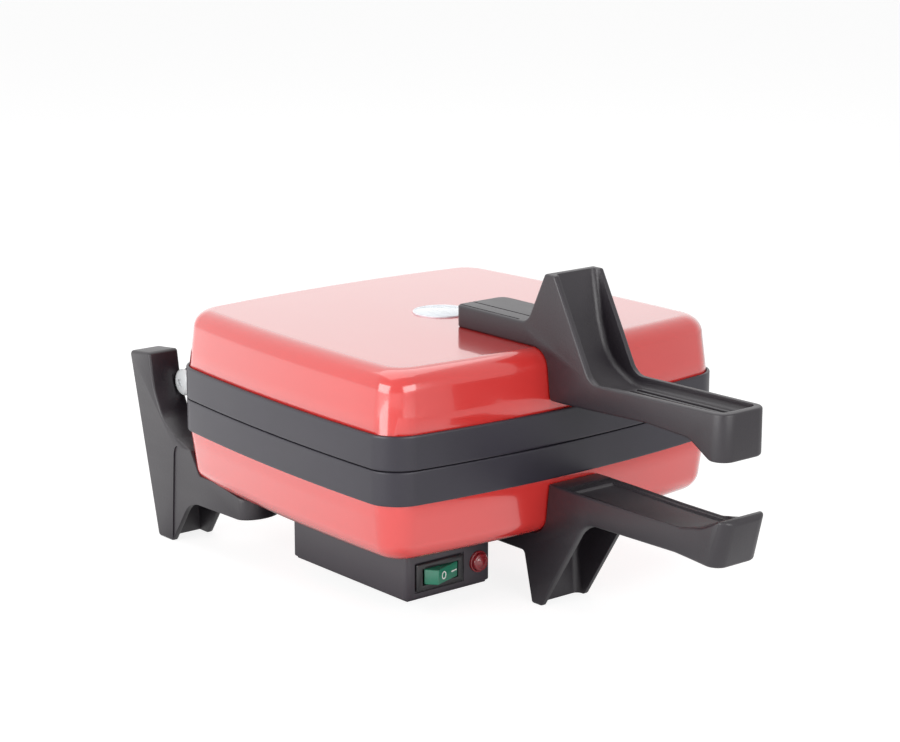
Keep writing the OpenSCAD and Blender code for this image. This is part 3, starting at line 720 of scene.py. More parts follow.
def filleted(corners: Sequence[tuple[float, float, float]], step: float = 12.0) -> list[Point]:
    """Draws an outline from corners that are rounded by their own radii.

    Args:
        corners: First and second coordinate and radius of each corner.
        step: Angle between the points of a rounding, in degrees.

    Returns:
        The outline's points.
    """
    out: list[Point] = []
    n = len(corners)
    for k, (x, y, r) in enumerate(corners):
        p = Vector((x, y))
        a = (Vector(corners[k - 1][:2]) - p).normalized()
        b = (Vector(corners[(k + 1) % n][:2]) - p).normalized()
        angle = a.angle(b)
        if r <= 0 or angle > math.radians(178):
            out.append((x, y))
            continue
        reach = r / math.tan(angle / 2)
        centre = p + (a + b).normalized() * (r / math.sin(angle / 2))
        start, end = p + a * reach, p + b * reach
        count = max(2, round((180 - math.degrees(angle)) / step))
        s, e = start - centre, end - centre
        turn = math.atan2(s.x * e.y - s.y * e.x, s.dot(e))
        for j in range(count + 1):
            t = turn * j / count
            v = Vector((s.x * math.cos(t) - s.y * math.sin(t), s.x * math.sin(t) + s.y * math.cos(t)))
            out.append((centre.x + v.x, centre.y + v.y))
    return out


def softened(points: Sequence[Point], times: int) -> list[Point]:
    """Rounds an outline by cutting its corners again and again.

    Args:
        points: The outline.
        times: How often.

    Returns:
        The softer outline.
    """
    for _ in range(times):
        points = [q for a, b in zip(points, list(points[1:]) + [points[0]])
                  for q in ((a[0] * 0.75 + b[0] * 0.25, a[1] * 0.75 + b[1] * 0.25),
                            (a[0] * 0.25 + b[0] * 0.75, a[1] * 0.25 + b[1] * 0.75))]
    return list(points)


def shell_line(gap: float = 0.15) -> list[Point]:
    """Section of the shell's front as Y and height, from its rim up to its flat."""
    return [(LAY.front + i - gap, h) for i, h in LAY.shell_rings(0.0)][1:]


# Sub-assemblies


@dataclass
class Shells:
    """The two red shells and the badge on the lid."""

    sheet: float = 1.0
    badge_r: float = 16.0

    def shell(self) -> bmesh.types.BMesh:
        """Builds one pressed shell with its inner side."""
        outer = LAY.shell_rings(0.0)
        inner = LAY.shell_rings(self.sheet)
        top_o, top_i = (outer[-1][0] + 1.2, outer[-1][1]), (inner[-1][0] + 1.2, inner[-1][1])
        lip = [(outer[0][0] + 0.3, outer[0][1] - 0.3)]
        rings = [top_i] + inner[::-1] + lip + [(outer[0][0], outer[0][1] + 0.2)] + outer[1:] + [top_o]
        return loft([[(x, y, h) for x, y in LAY.plan(i)] for i, h in rings])

    def badge(self) -> bmesh.types.BMesh:
        """Builds the plain round badge with a turned rim and fine rings."""
        z = LAY.shell_h + 0.03
        r = self.badge_r
        section = [(0, z), (r, z), (r, z + 0.45), (r - 0.25, z + 0.8), (r - 0.9, z + 0.86), (r - 1.3, z + 0.62),
                   (r - 2.0, z + 0.6), (r - 2.3, z + 0.72), (0, z + 0.76)]
        return turned(section, Matrix.Identity(4), 96)

    def build(self, finish: dict[str, bpy.types.Material]) -> None:
        """Builds and dresses both shells and the badge."""
        for half, body, name in ((Half.UPPER, Body.LID, "upper"), (Half.LOWER, Body.BASE, "lower")):
            Piece(f"{name}_shell_skin", body, "red_paint", (f"{name}_shell",), half, 40).settle(
                self.shell(), finish["red_enamel"])
        Piece("lid_badge_disc", Body.LID, "badge_sheet", ("lid_badge",)).settle(self.badge(), finish["badge_sheet"])


@dataclass
class Bands:
    """The moulded bands round the seam, with the hinge lugs."""

    wall: float = 4.0
    ledge: float = 10.0
    ledge_z: float = 4.3
    ledge_t: float = 4.0
    lug_x: float = 86.8
    lug_t: float = 7.0
    lug_r: float = 8.0
    pin_r: float = 3.05

    def band(self) -> bmesh.types.BMesh:
        """Builds the ring of a band with its inner ledge and eased edges."""
        low, top, s = LAY.seam / 2, LAY.band_h, LAY.step_in - 0.15
        section = [(0.35, low), (0.1, low + 0.2), (0, low + 0.6), (0, low + 1.4), (0, top - 1.4), (0, top - 0.7),
                   (0.2, top - 0.2), (0.7, top), (s, top), (s, top - LAY.rabbet), (self.wall, top - LAY.rabbet),
                   (self.wall, self.ledge_z + self.ledge_t), (self.wall + self.ledge, self.ledge_z + self.ledge_t),
                   (self.wall + self.ledge, self.ledge_z), (self.wall, self.ledge_z), (self.wall, low)]
        return loft([[(x, y, z) for x, y in LAY.plan(i)] for i, z in section], closed=True)

    def lug(self, x0: float, x1: float) -> bmesh.types.BMesh:
        """Builds one hinge lug with its bore.

        Args:
            x0: Near face.
            x1: Far face.

        Returns:
            The lug, which reaches into the band's wall.
        """
        y, r = LAY.axis_y, self.lug_r
        root = LAY.half_d * (1 - LAY.front_bow * (self.lug_x / LAY.half_w) ** 2) - 1.6
        eye = [(y + r * math.cos(math.radians(a)), r * math.sin(math.radians(a))) for a in range(90, -141, -10)]
        outline = [(root, LAY.band_h - 4)] + eye + [(LAY.half_d + 1.2, 0.4), (root, 0.4)]
        body = eased(prism(outline, "X", x0, x1), 0.7, 40, 2)
        return worked(body, [(Cut.REMOVE, rod(self.pin_r, (x0 - 1, y, 0), (x1 + 1, y, 0)))])

    def build(self, finish: dict[str, bpy.types.Material]) -> None:
        """Builds and dresses both bands."""
        inner = self.lug_x - self.lug_t
        for half, body, name, x1 in ((Half.UPPER, Body.LID, "upper", self.lug_x),
                                     (Half.LOWER, Body.BASE, "lower", inner - 0.4)):
            parts = [self.band(), self.lug(x1 - self.lug_t, x1), self.lug(-x1, self.lug_t - x1)]
            Piece(f"{name}_band_ring", body, "band_black", (f"{name}_band",), half, 40).settle(
                joined(parts), finish["band_plastic"])


@dataclass
class Grips:
    """The top grip with its fin and the lower grip with the front leg."""

    tip_r: float = 8.0
    bar_y: float = -33.4
    ease: float = 1.3

    def plan(self) -> list[Point]:
        """Plan of both grips: round at the bar's end, narrower at the tip."""
        w, t, root = LAY.grip_w, LAY.tip_w, LAY.front - 28
        r = self.tip_r
        end = filleted([(-w, -50, 0), (-w, self.bar_y, 4.5), (w, self.bar_y, 6), (w, -50, 0)], 15)
        right = [(t - r + r * math.cos(math.radians(a)), LAY.tip_y + r + r * math.sin(math.radians(a)))
                 for a in range(0, -91, -10)]
        left = [(-x, y) for x, y in reversed(right)]
        return [(-w, root)] + end + [(w, root)] + right + left

    def channel(self, front_gap: float = 5.0) -> list[Point]:
        """Plan of what is scooped out between the grip's side walls.

        Args:
            front_gap: Wall left at the tip.

        Returns:
            The outline.
        """
        w0, w1, root = LAY.grip_w - LAY.rib_t, LAY.tip_w - LAY.rib_t, LAY.front - 28
        end = LAY.tip_y + front_gap
        return filleted([(-w0, LAY.front + 40, 0), (w0, LAY.front + 40, 0), (w0, root, 0), (w1, end, 4.5),
                         (-w1, end, 4.5), (-w0, root, 0)])

    def full(self, side: Sequence[Point]) -> bmesh.types.BMesh:
        """Keeps what a side outline and the plan have in common.

        Args:
            side: Outline in Y and height.

        Returns:
            The solid.
        """
        body = prism(side, "X", -LAY.grip_w - 2, LAY.grip_w + 2)
        return worked(body, [(Cut.KEEP, prism(self.plan(), "Z", -100, 100))])

    def upper(self) -> bmesh.types.BMesh:
        """Builds the top grip."""
        st, tip = LAY.shell_h, LAY.tip_y
        bar = st + LAY.bar_t
        side = filleted([
            (self.bar_y + 3, st, 0), (self.bar_y + 3, bar, 0), (-92.4, bar, 9), (-106.0, LAY.leg_h, 1.8),
            (-113.8, LAY.leg_h, 1.8), (-141.9, 38.9, 10), (tip - 3, 40.8, 0), (tip - 3, 15.8, 0), (tip + 10, 15.8, 6),
            (tip + 24, 24.5, 10), (-182, 26.2, 0), (-121, 23.9, 0), (LAY.front + 2.05, 23.9, 0)]) + shell_line()
        scoop = filleted([(-109.6, 94, 0), (-115.4, 64, 30), (-122.5, 43.5, 26), (-142, 33.6, 20),
                          (tip + 2, 35.7, 0), (tip + 2, 94, 0)])
        hollow = worked(prism(scoop, "X", -40, 40), [(Cut.KEEP, prism(self.channel(), "Z", -100, 100))])
        hollow = eased(hollow, 3.2, 50, 4, lambda p: p.z < 92)
        grooves = [(Cut.REMOVE, prism([(x - 0.5, bar - 0.8), (x + 0.5, bar - 0.8), (x + 0.7, bar + 2), (x - 0.7, bar + 2)],
                                      "Y", -84, self.bar_y + 2)) for x in (-15.2, -5.8)]
        body = worked(eased(self.full(side), self.ease, 30), [(Cut.REMOVE, hollow)] + grooves)
        body = eased(body, 0.45, 50, 2, lambda p: abs(p.x) < LAY.grip_w - 2 and p.y < LAY.front + 6 and p.z > 32)
        ridges = [eased(prism([(LAY.front - 41, 33.6), (LAY.front - 41, 34.9), (LAY.front - 44, 35.5),
                               (tip + 14, 36.5), (tip + 11, 35.7), (tip + 11, 34.8)], "X", x - 1.0, x + 1.0),
                        0.4, 30, 2) for x in (-5, 0, 5)]
        return joined([body] + ridges)

    def lower(self) -> bmesh.types.BMesh:
        """Builds the lower grip with the front leg."""
        st, tip, foot = LAY.shell_h, LAY.tip_y, LAY.leg_h
        bar = st + LAY.bar_t
        side = filleted([
            (self.bar_y + 3, st, 0), (self.bar_y + 3, bar, 0), (-91.2, bar + 0.2, 2.5), (-98.0, foot, 1.6),
            (-105.6, foot, 1.6), (-139.6, 36.9, 13), (-204, 36.4, 30), (tip - 3, 39.2, 0), (tip - 3, 17.6, 0),
            (tip + 2.2, 13.5, 3), (tip + 5.2, 13.5, 2), (tip + 15, 19.6, 12), (tip + 29, 22.4, 10), (-177, 22.4, 0), (-119, 21.4, 0),
            (LAY.front + 2.05, 21.4, 0)]) + shell_line()
        scoop = filleted([(-101, 96, 0), (-98.2, 64, 16), (-107.4, 50, 12), (-127, 41.8, 24), (-149.5, 38.7, 0),
                          (-149.5, 96, 0)])
        w = LAY.grip_w - LAY.rib_t
        tray = worked(prism(filleted([(-127, 10, 0), (-127, 24, 2), (-177, 24.9, 0), (tip + 28, 24.7, 8),
                                      (tip + 16, 22.2, 12), (tip + 8, 16, 0), (tip + 8, 10, 0)]), "X", -20, 20),
                      [(Cut.KEEP, prism(self.channel(10.0), "Z", -100, 100))])
        step = worked(prism([(-122.5, 10), (-122.5, 22.6), (-177, 23.5), (tip + 16, 23.2), (tip + 16, 10)], "X",
                            -20, 20), [(Cut.KEEP, prism(self._wider(), "Z", -100, 100))])
        body = worked(eased(self.full(side), self.ease, 30),
                      [(Cut.REMOVE, eased(prism(scoop, "X", -w, w), 3.6, 60, 4)), (Cut.REMOVE, step), (Cut.REMOVE, tray)])
        body = eased(body, 0.4, 50, 2, lambda p: abs(p.x) < LAY.grip_w - 1.6 and tip + 20 < p.y < -150)
        for back in range(26, 1, -2):
            bmesh.ops.bisect_plane(body, geom=[*body.verts, *body.edges, *body.faces], dist=1e-4,
                                   plane_co=(0, tip + back, 0), plane_no=(0, 1, 0))
        for v in body.verts:
            share = min(max((tip + 26 - v.co.y) / 24, 0), 1)
            v.co.y += share * share * (3 - 2 * share) * (5.6 * (v.co.z - 16) / 23 - 2.4)
        return body

    def _wider(self) -> list[Point]:
        """Plan of the shallow step round the lower grip's hollow."""
        return [(x * 1.13, y) for x, y in self.channel(20.0)]

    def build(self, finish: dict[str, bpy.types.Material]) -> None:
        """Builds and dresses both grips."""
        Piece("top_grip", Body.LID, "grip_black", ("upper_handle",)).settle(self.upper(), finish["grip_plastic"])
        Piece("front_leg_grip", Body.BASE, "grip_black", ("lower_handle",), Half.LOWER).settle(
            self.lower(), finish["grip_plastic"])


@dataclass
class RearLegs:
    """The two rear legs with their stop arms."""

    ease: float = 1.5

    def leg(self) -> bmesh.types.BMesh:
        """Builds the left rear leg."""
        x0, x1, foot = -LAY.arm_x, -LAY.arm_x + LAY.leg_w, LAY.leg_h
        side = filleted([
            (38, LAY.shell_h, 0), (38, 62.2, 0), (70, 62.6, 0), (98.4, 63.2, 17), (117.3, foot, 1.8),
            (131.7, foot, 2.4), (157.4, -16.2, 2.4), (136.3, -18.4, 2.0), (132.9, 2, 26), (124.6, 17.2, 16),
            (109.6, 28.0, 6), (96, 32.4, 2), (88, 45.4, 0), (73, 45.4, 0)])
        width = [(x0 - 3, -40), (x0 + LAY.arm_w, -40), (x0 + LAY.arm_w, 26), (x1, 52), (x1 + 3, 52),
                 (x1 + 3, foot + 2), (x0 - 3, foot + 2)]
        end = [((x0 + x1) / 2 + LAY.leg_w / 2 * math.cos(math.radians(a)), 51 + 10 * math.sin(math.radians(a)))
               for a in range(180, 361, 10)]
        plan = end + [(x1, 180), (x0, 180)]
        wall = [[(x, y, h) for x, y in LAY.plan(i)] for i, h in
                [(-1.2, -6), (-1.2, LAY.band_h + 0.5), (LAY.step_in - 0.6, LAY.band_h + 0.6)]
                + [(i - 0.12, h) for i, h in LAY.shell_rings(0.0)[2:]]]
        body = worked(prism(side, "X", x0 - 2, x1 + 2), [(Cut.KEEP, prism(width, "Y", 30, 170)),
                                                         (Cut.KEEP, prism(plan, "Z", -60, 100))])
        body = eased(body, self.ease, 30)
        scoop = filleted([(60, 67.4, 0), (88, 67.4, 10), (104, 63.0, 12), (118, 60, 6), (127.2, 66, 6),
                          (125.4, 96, 0), (60, 96, 0)])
        inset = [(20, foot + 1), (116.6, foot + 1), (112.8, 37), (111.6, 33.5), (110, 32), (20, 32)]
        body = worked(body, [(Cut.REMOVE, loft(wall)), (Cut.REMOVE, prism(scoop, "X", x0 + 4, x1 - 4)),
                             (Cut.REMOVE, prism(inset, "X", x0 - 1, x0 + 0.7)),
                             (Cut.REMOVE, rod(8.5, (-93.4, LAY.axis_y, 0), (-70, LAY.axis_y, 0), 64))])
        return eased(body, 0.35, 55, 2, lambda p: p.z > 40 and p.y > 60 and abs(p.x - (x0 + x1) / 2) < 12)

    def build(self, finish: dict[str, bpy.types.Material]) -> None:
        """Builds and dresses both legs."""
        for side in ("left", "right"):
            leg = self.leg()
            if side == "right":
                bmesh.ops.transform(leg, matrix=Matrix.Diagonal((-1, 1, 1, 1)), verts=leg.verts[:])
            Piece(f"{side}_rear_leg", Body.BASE, "grip_black", (f"{side}_bracket",), Half.LOWER).settle(
                leg, finish["grip_plastic"])


@dataclass
class HingeScrews:
    """The white screws that the lid turns on."""

    head_r: float = 7.8
    shank_r: float = 3.0
    head_x: float = 89.2
    collar_r: float = 5.0
    collar_x: float = 87.1
    tip_x: float = 65.4

    def screw(self) -> bmesh.types.BMesh:
        """Builds the right screw."""
        r, x = self.head_r, self.head_x
        section = [(0, self.tip_x), (self.shank_r - 0.5, self.tip_x), (self.shank_r, self.tip_x + 0.5),
                   (self.shank_r, self.collar_x), (self.collar_r, self.collar_x), (self.collar_r, x),
                   (r - 0.2, x), (r, x + 0.3), (r, x + 1.2), (r - 0.3, x + 1.8),
                   (r - 1.2, x + 2.5), (r - 2.6, x + 3.1), (r - 4.4, x + 3.5), (r - 6.2, x + 3.66), (0, x + 3.7)]
        place = Matrix.Translation((0, LAY.axis_y, 0)) @ Matrix.Rotation(math.pi / 2, 4, "Y")
        y = LAY.axis_y
        socket = prism([(y + 2.5 * math.cos(math.radians(a)), 2.5 * math.sin(math.radians(a)))
                        for a in range(0, 360, 60)], "X", x + 2.2, x + 6)
        return worked(turned(section, place, 64), [(Cut.REMOVE, socket)])

    def build(self, finish: dict[str, bpy.types.Material]) -> None:
        """Builds and dresses both screws."""
        for side, sign in (("left", -1), ("right", 1)):
            screw = self.screw()
            bmesh.ops.transform(screw, matrix=Matrix.Diagonal((sign, 1, 1, 1)), verts=screw.verts[:])
            Piece(f"{side}_hinge_button", Body.BASE, "screw_white", (f"{side}_hinge_screw",)).settle(
                screw, finish["white_coat"])


@dataclass
class ControlBox:
    """The box under the left half with its cover, switch, lamp and inlet."""

    w: float = 58.0
    length: float = 102.0
    h: float = 30.6
    mid_x: float = -59.3
    front: float = -79.0
    wall: float = 2.4
    switch_w: float = 32.0
    switch_h: float = 15.0
    lamp_d: float = 11.4
    tilt: float = 9.0
    posts: tuple[Point, ...] = ((-81.9, -55.0), (-36.7, -55.0), (-81.9, 16.6), (-36.7, 16.6))

    @property
    def switch_at(self) -> Vector:
        """Middle of the switch on the box's front."""
        return Vector((self.mid_x - 6.6, self.front, LAY.shell_h + 18))

    @property
    def lamp_at(self) -> Vector:
        """Middle of the lamp on the box's front."""
        return Vector((self.mid_x + 20.2, self.front, LAY.shell_h + 17.2))

    def _rect(self, inset: float, radius: float) -> list[Point]:
        """Plan of the box, a distance inwards."""
        x0, x1 = self.mid_x - self.w / 2 + inset, self.mid_x + self.w / 2 - inset
        y0, y1 = self.front + inset, self.front + self.length - inset
        return filleted([(x0, y0, radius), (x1, y0, radius), (x1, y1, radius), (x0, y1, radius)], 20)

    def casing(self) -> bmesh.types.BMesh:
        """Builds the box with the recess for the switch and the holes in its walls."""
        top, low = LAY.shell_h, LAY.shell_h + self.h
        s, m = self.switch_at, self.lamp_at
        body = eased(prism(self._rect(0, 3.0), "Z", top, low - 1.5), 0.8, 60)
        y = self.front
        cuts = [prism(self._rect(self.wall, 0.8), "Z", top + self.wall, low + 1),
                prism(self._rect(self.wall - 0.8, 0.8), "Z", low - 4, low + 1),
                block((s.x - 16.8, y - 1, s.z - 8.3), (s.x + 16.8, y + 0.8, s.z + 8.3), 0.4, 2),
                block((s.x - 14.4, y - 1, s.z - 6.6), (s.x + 14.4, y + 5, s.z + 6.6)),
                rod(self.lamp_d / 2 - 1, (m.x, y - 1, m.z), (m.x, y + 5, m.z)),
                rod(5.5, (self.mid_x, y + self.length - 5, top + 16), (self.mid_x, y + self.length + 1, top + 16))]
        return worked(body, [(Cut.REMOVE, c) for c in cuts])

    def cover(self) -> bmesh.types.BMesh:
        """Builds the bottom cover with its screw holes and finger notch."""
        z0 = LAY.shell_h + self.h - 4
        plate = eased(prism(self._rect(self.wall - 0.6, 0.8), "Z", z0, z0 + 4), 0.5, 60, 2)
        cuts = [rod(1.7, (x, y, z0 - 1), (x, y, z0 + 5), 24) for x, y in self.posts]
        cuts += [rod(3, (x, y, z0 + 3), (x, y, z0 + 5), 32) for x, y in self.posts]
        notch = block((self.mid_x - 7, self.front + 4.4, z0 - 1), (self.mid_x + 7, self.front + 8.4, z0 + 5))
        return worked(plate, [(Cut.REMOVE, c) for c in cuts + [notch]])

    def frame(self) -> bmesh.types.BMesh:
        """Builds the switch rim with its body and tabs."""
        s, w, h = self.switch_at, self.switch_w / 2, self.switch_h / 2
        y = s.y + 0.8
        rim = worked(block((s.x - w, y - 2, s.z - h), (s.x + w, y, s.z + h), 0.7),
                     [(Cut.ADD, block((s.x - w + 1.8, y - 0.5, s.z - h + 1.1), (s.x + w - 1.8, y + 17, s.z + h - 1.1)))])
        hole = block((s.x - 12.15, y - 3, s.z - 4.5), (s.x + 12.15, y + 11, s.z + 4.5))
        pivot = rod(1.35, (s.x, y + 2.8, s.z - h), (s.x, y + 2.8, s.z + h))
        body = eased(worked(rim, [(Cut.REMOVE, hole), (Cut.REMOVE, pivot)]), 0.35, 60, 2,
                     lambda p: p.y < y - 1 and abs(p.x - s.x) < 13 and abs(p.z - s.z) < 5.6)
        tabs = [block((s.x + x - 0.4, y + 16.9, s.z - 2.4), (s.x + x + 0.4, y + 24, s.z + 2.4)) for x in (-8, 0, 8)]
        return joined([body] + tabs)

    def _rocked(self, bm: bmesh.types.BMesh) -> bmesh.types.BMesh:
        """Turns a mesh drawn round the pivot into the rocker's place."""
        s = self.switch_at
        place = Matrix.Translation((s.x, self.front + 3.6, s.z)) @ Matrix.Rotation(math.radians(self.tilt), 4, "Z")
        bmesh.ops.transform(bm, matrix=place, verts=bm.verts[:])
        return bm

    def rocker(self) -> bmesh.types.BMesh:
        """Builds the rocker with its raised ridge and sloping face."""
        l, h = 11.7, 4.15
        face = filleted([(-l + 0.5, -2.4, 0.4), (-7.3, -8.9, 0.7), (11.0, -6.2, 0.5),
                         (l - 0.5, -2.4, 0.4), (l - 1.4, -1, 0), (5, 1.4, 0), (4, 4, 0.8), (-4, 4, 0.8),
                         (-5, 1.4, 0), (-l + 1.4, -1, 0)])
        body = eased(prism(face, "Z", -h, h), 0.5, 50)
        pins = rod(1.3, (0, 0, -h - 1.2), (0, 0, h + 1.2))
        return self._rocked(joined([body, pins]))

    def marks(self) -> bmesh.types.BMesh:
        """Builds the generic 0 and I on the rocker."""
        ring_mark = bmesh.new()
        section = [(1.35, -0.12), (1.85, -0.12), (1.85, 0.12), (1.35, 0.12)]
        ring_mark = turned(section, Matrix.Diagonal((1.05, 1.2, 1, 1)), 32)
        lean = math.radians(8.4)
        bmesh.ops.transform(ring_mark, verts=ring_mark.verts[:], matrix=Matrix.Translation((-2.0, -8.15, 0))
                            @ Matrix.Rotation(lean, 4, "Z") @ Matrix.Rotation(math.pi / 2, 4, "X"))
        bar = block((-2.5, -0.12, -0.32), (2.5, 0.12, 0.32), 0.05, 1)
        bmesh.ops.transform(bar, verts=bar.verts[:], matrix=Matrix.Translation((7.6, -6.74, 0))
                            @ Matrix.Rotation(lean, 4, "Z"))
        return self._rocked(joined([ring_mark, bar]))

    def lens(self) -> bmesh.types.BMesh:
        """Builds the lens with its low dome inside a rolled edge."""
        m, r = self.lamp_at, self.lamp_d / 2 - 0.75
        section = [(0, -8), (r - 0.5, -8), (r - 0.5, 0), (r, 0.02), (r, 2.3), (r - 0.12, 2.7), (r - 0.5, 3.05),
                   (r - 0.9, 3.2), (r - 1.3, 3.12), (r - 1.5, 3.2), (r - 2.2, 3.5), (r - 3.2, 3.8), (1, 3.97), (0, 4)]
        return turned(section, Matrix.Translation(m) @ Matrix.Rotation(math.pi / 2, 4, "X"), 48)

    def lamp_ring(self) -> bmesh.types.BMesh:
        """Builds the ring round the lens."""
        m, r = self.lamp_at, self.lamp_d / 2
        section = [(r - 0.7, 0.01), (r + 0.3, 0.01), (r + 0.3, 0.8), (r + 0.15, 1.15), (r - 0.2, 1.3),
                   (r - 0.55, 1.25), (r - 0.7, 1.1)]
        return turned(section, Matrix.Translation(m) @ Matrix.Rotation(math.pi / 2, 4, "X"), 48)

    def bush(self) -> bmesh.types.BMesh:
        """Builds the inlet bush in the back wall."""
        w = self.wall
        section = [(3.4, -w - 3), (6.8, -w - 3), (6.8, -w), (5.4, -w), (5.4, 0), (7.4, 0), (7.4, 2.0), (7.1, 2.6),
                   (6.2, 3.7), (5.6, 4), (4.0, 4), (3.4, 3.4)]
        place = Matrix.Translation((self.mid_x, self.front + self.length, LAY.shell_h + 16))
        return turned(section, place @ Matrix.Rotation(-math.pi / 2, 4, "X"), 48)

    def build(self, finish: dict[str, bpy.types.Material]) -> None:
        """Builds and dresses the box and what it carries."""
        base, low = Body.BASE, Half.LOWER
        rows = (("control_casing", base, "grip_black", ("control_box",), self.casing, "box_plastic"),
                ("control_cover", base, "grip_black", ("box_cover",), self.cover, "box_plastic"),
                ("switch_rim", base, "switch_black", ("switch_frame",), self.frame, "switch_plastic"),
                ("rocker_key", Body.ROCKER, "rocker_green", ("rocker",), self.rocker, "rocker_green"),
                ("rocker_marks", Body.ROCKER, "lamp_white", (), self.marks, "mark_white"),
                ("signal_lens", base, "lamp_red", ("lamp_lens",), self.lens, "lamp_red"),
                ("signal_ring", base, "lamp_red", ("lamp_ring",), self.lamp_ring, "lamp_red"),
                ("cord_inlet_bush", base, "bush_rubber", ("inlet_bush",), self.bush, "bush_rubber"))
        for name, body, slot, nodes, make, look in rows:
            Piece(name, body, slot, nodes, low).settle(make(), finish[look])


@dataclass
class Moulds:
    """The cast mould plates with their two fish each."""

    fish_x: float = 46.0
    depth: float = 12.0
    skin: float = 3.0
    plate_t: float = 4.0
    plate_in: float = 4.4
    steps: int = 8
    line: tuple[Point, ...] = (
        (0, 0), (3, 11), (12, 22), (28, 30), (40, 34), (48, 41), (66, 42), (80, 35), (96, 26), (110, 17), (120, 15),
        (134, 24), (148, 34), (159, 37), (162, 32), (156, 18), (152, 2), (155, -14), (161, -28), (158, -34),
        (146, -31), (132, -22), (119, -14), (108, -16), (92, -25), (82, -31), (74, -39), (62, -40), (54, -33),
        (36, -31), (22, -26), (9, -17), (2, -8))

    def _fish(self, grow: float, low: float, depth: float) -> bmesh.types.BMesh:
        """Lofts one half fish that rounds off with depth.

        Args:
            grow: Widening round the outline, as for the casting's wall.
            low: Height of the wide end.
            depth: How deep it goes.

        Returns:
            The solid, along X with its nose at -X.
        """
        outline = softened([(x - 81, y) for x, y in self.line], 2)
        wide = 1 + grow / 40
        rings = [[(x * wide, y * wide, low - 1.0) for x, y in outline]] if not grow else []
        for k in range(self.steps + 1):
            a = math.pi / 2 * k / self.steps
            s = wide * (0.68 + 0.32 * math.cos(a) ** 0.8) if k < self.steps else wide * 0.68
            rings.append([(x * s, y * s, low + depth * math.sin(a)) for x, y in outline])
        return loft(rings)

    def _relief(self) -> list[bmesh.types.BMesh]:
        """Builds what stands up in a mould: eye, gill, scales and tail lines."""
        top = LAY.seam / 2 + self.depth
        parts = [turned([(0, 0), (3.6, 0), (3.4, -1.6), (2.2, -2.8), (0, -3.2)], Matrix.Translation((-60, 8, top)),
                        32)]

        def arc(x: float, y: float, r: float, a0: float, a1: float, rise: float, thick: float) -> None:
            """Adds a curved ridge round a middle."""
            n = 10
            rows = []
            for k in range(n + 1):
                a = math.radians(a0 + (a1 - a0) * k / n)
                c, s = math.cos(a), math.sin(a)
                rows.append([(x + (r - thick) * c, y + (r - thick) * s, top + 0.6), (x + r * c, y + r * s, top - rise),
                             (x + (r + thick) * c, y + (r + thick) * s, top + 0.6)])
            parts.append(loft(rows))

        arc(-56, 0, 19, -52, 52, 2.0, 1.3)
        for i in range(5):
            for j in (-1, 0, 1):
                arc(-22 + 11.5 * i, j * (11 - i) + (i % 2) * 5 - 2.5, 6.6, -68, 68, 1.5, 0.9)
        for k, y in enumerate((-11, -5, 1, 7, 13)):
            arc(72 + 40, y * 1.4, 68 + abs(k - 2), 176 - y * 0.5, 184 - y * 0.9, 1.6, 0.9)
        return parts

    def plate(self) -> bmesh.types.BMesh:
        """Builds a mould plate with its casting bulges, moulds and relief."""
        low = LAY.seam / 2
        slab = prism(LAY.plan(self.plate_in), "Z", low, low + self.plate_t)
        turn = Matrix.Rotation(math.pi / 2, 4, "Z")
        steps, relief = [], []
        for side in (-1, 1):
            place = Matrix.Translation((side * self.fish_x, 0, 0)) @ turn
            bulge = self._fish(self.skin, low + 0.4, self.depth + self.skin - 0.4)
            hollow = self._fish(0.0, low, self.depth)
            raised = joined(self._relief())
            for bm in (bulge, hollow, raised):
                bmesh.ops.transform(bm, matrix=place, verts=bm.verts[:])
            steps += [(Cut.ADD, bulge), (Cut.REMOVE, hollow)]
            relief.append(raised)
        body = worked(slab, [s for s in steps if s[0] is Cut.ADD] + [s for s in steps if s[0] is Cut.REMOVE])
        return joined([body] + relief)

    def build(self, finish: dict[str, bpy.types.Material]) -> None:
        """Builds and dresses both plates."""
        for half, body, name in ((Half.UPPER, Body.LID, "upper"), (Half.LOWER, Body.BASE, "lower")):
            Piece(f"{name}_mould", body, "mould_cast", (f"{name}_plate",), half, 30).settle(
                self.plate(), finish["mould_coating"])


@dataclass
class Fittings:
    """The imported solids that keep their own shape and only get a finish."""

    looks: dict[str, tuple[str, ...]] = field(default_factory=lambda: {
        "heater_tube": ("upper_heater", "lower_heater"),
        "rolled_sheet": ("upper_tray", "lower_tray"),
        "zinc_plate": ("upper_plate_screws", "lower_plate_screws", "upper_handle_screws", "lower_handle_screws",
                       "bracket_screws", "hinge_nuts", "cover_screws", "box_screws"),
        "fired_ceramic": ("upper_terminals", "lower_terminals"),
        "control_body": ("thermostat", "thermal_cutout"),
        "tag_brass": ("earth_tag",),
        "lamp_white": ("lamp_body",)})

    def build(self, finish: dict[str, bpy.types.Material], nodes: dict[str, bpy.types.Object]) -> None:
        """Gives each node its finish.

        Args:
            finish: The materials by name.
            nodes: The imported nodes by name.
        """
        for look, names in self.looks.items():
            for name in names:
                slots = nodes[name].data.materials
                slots.clear()
                slots.append(finish[look])
                LOG.info("%s: %s", name, look)


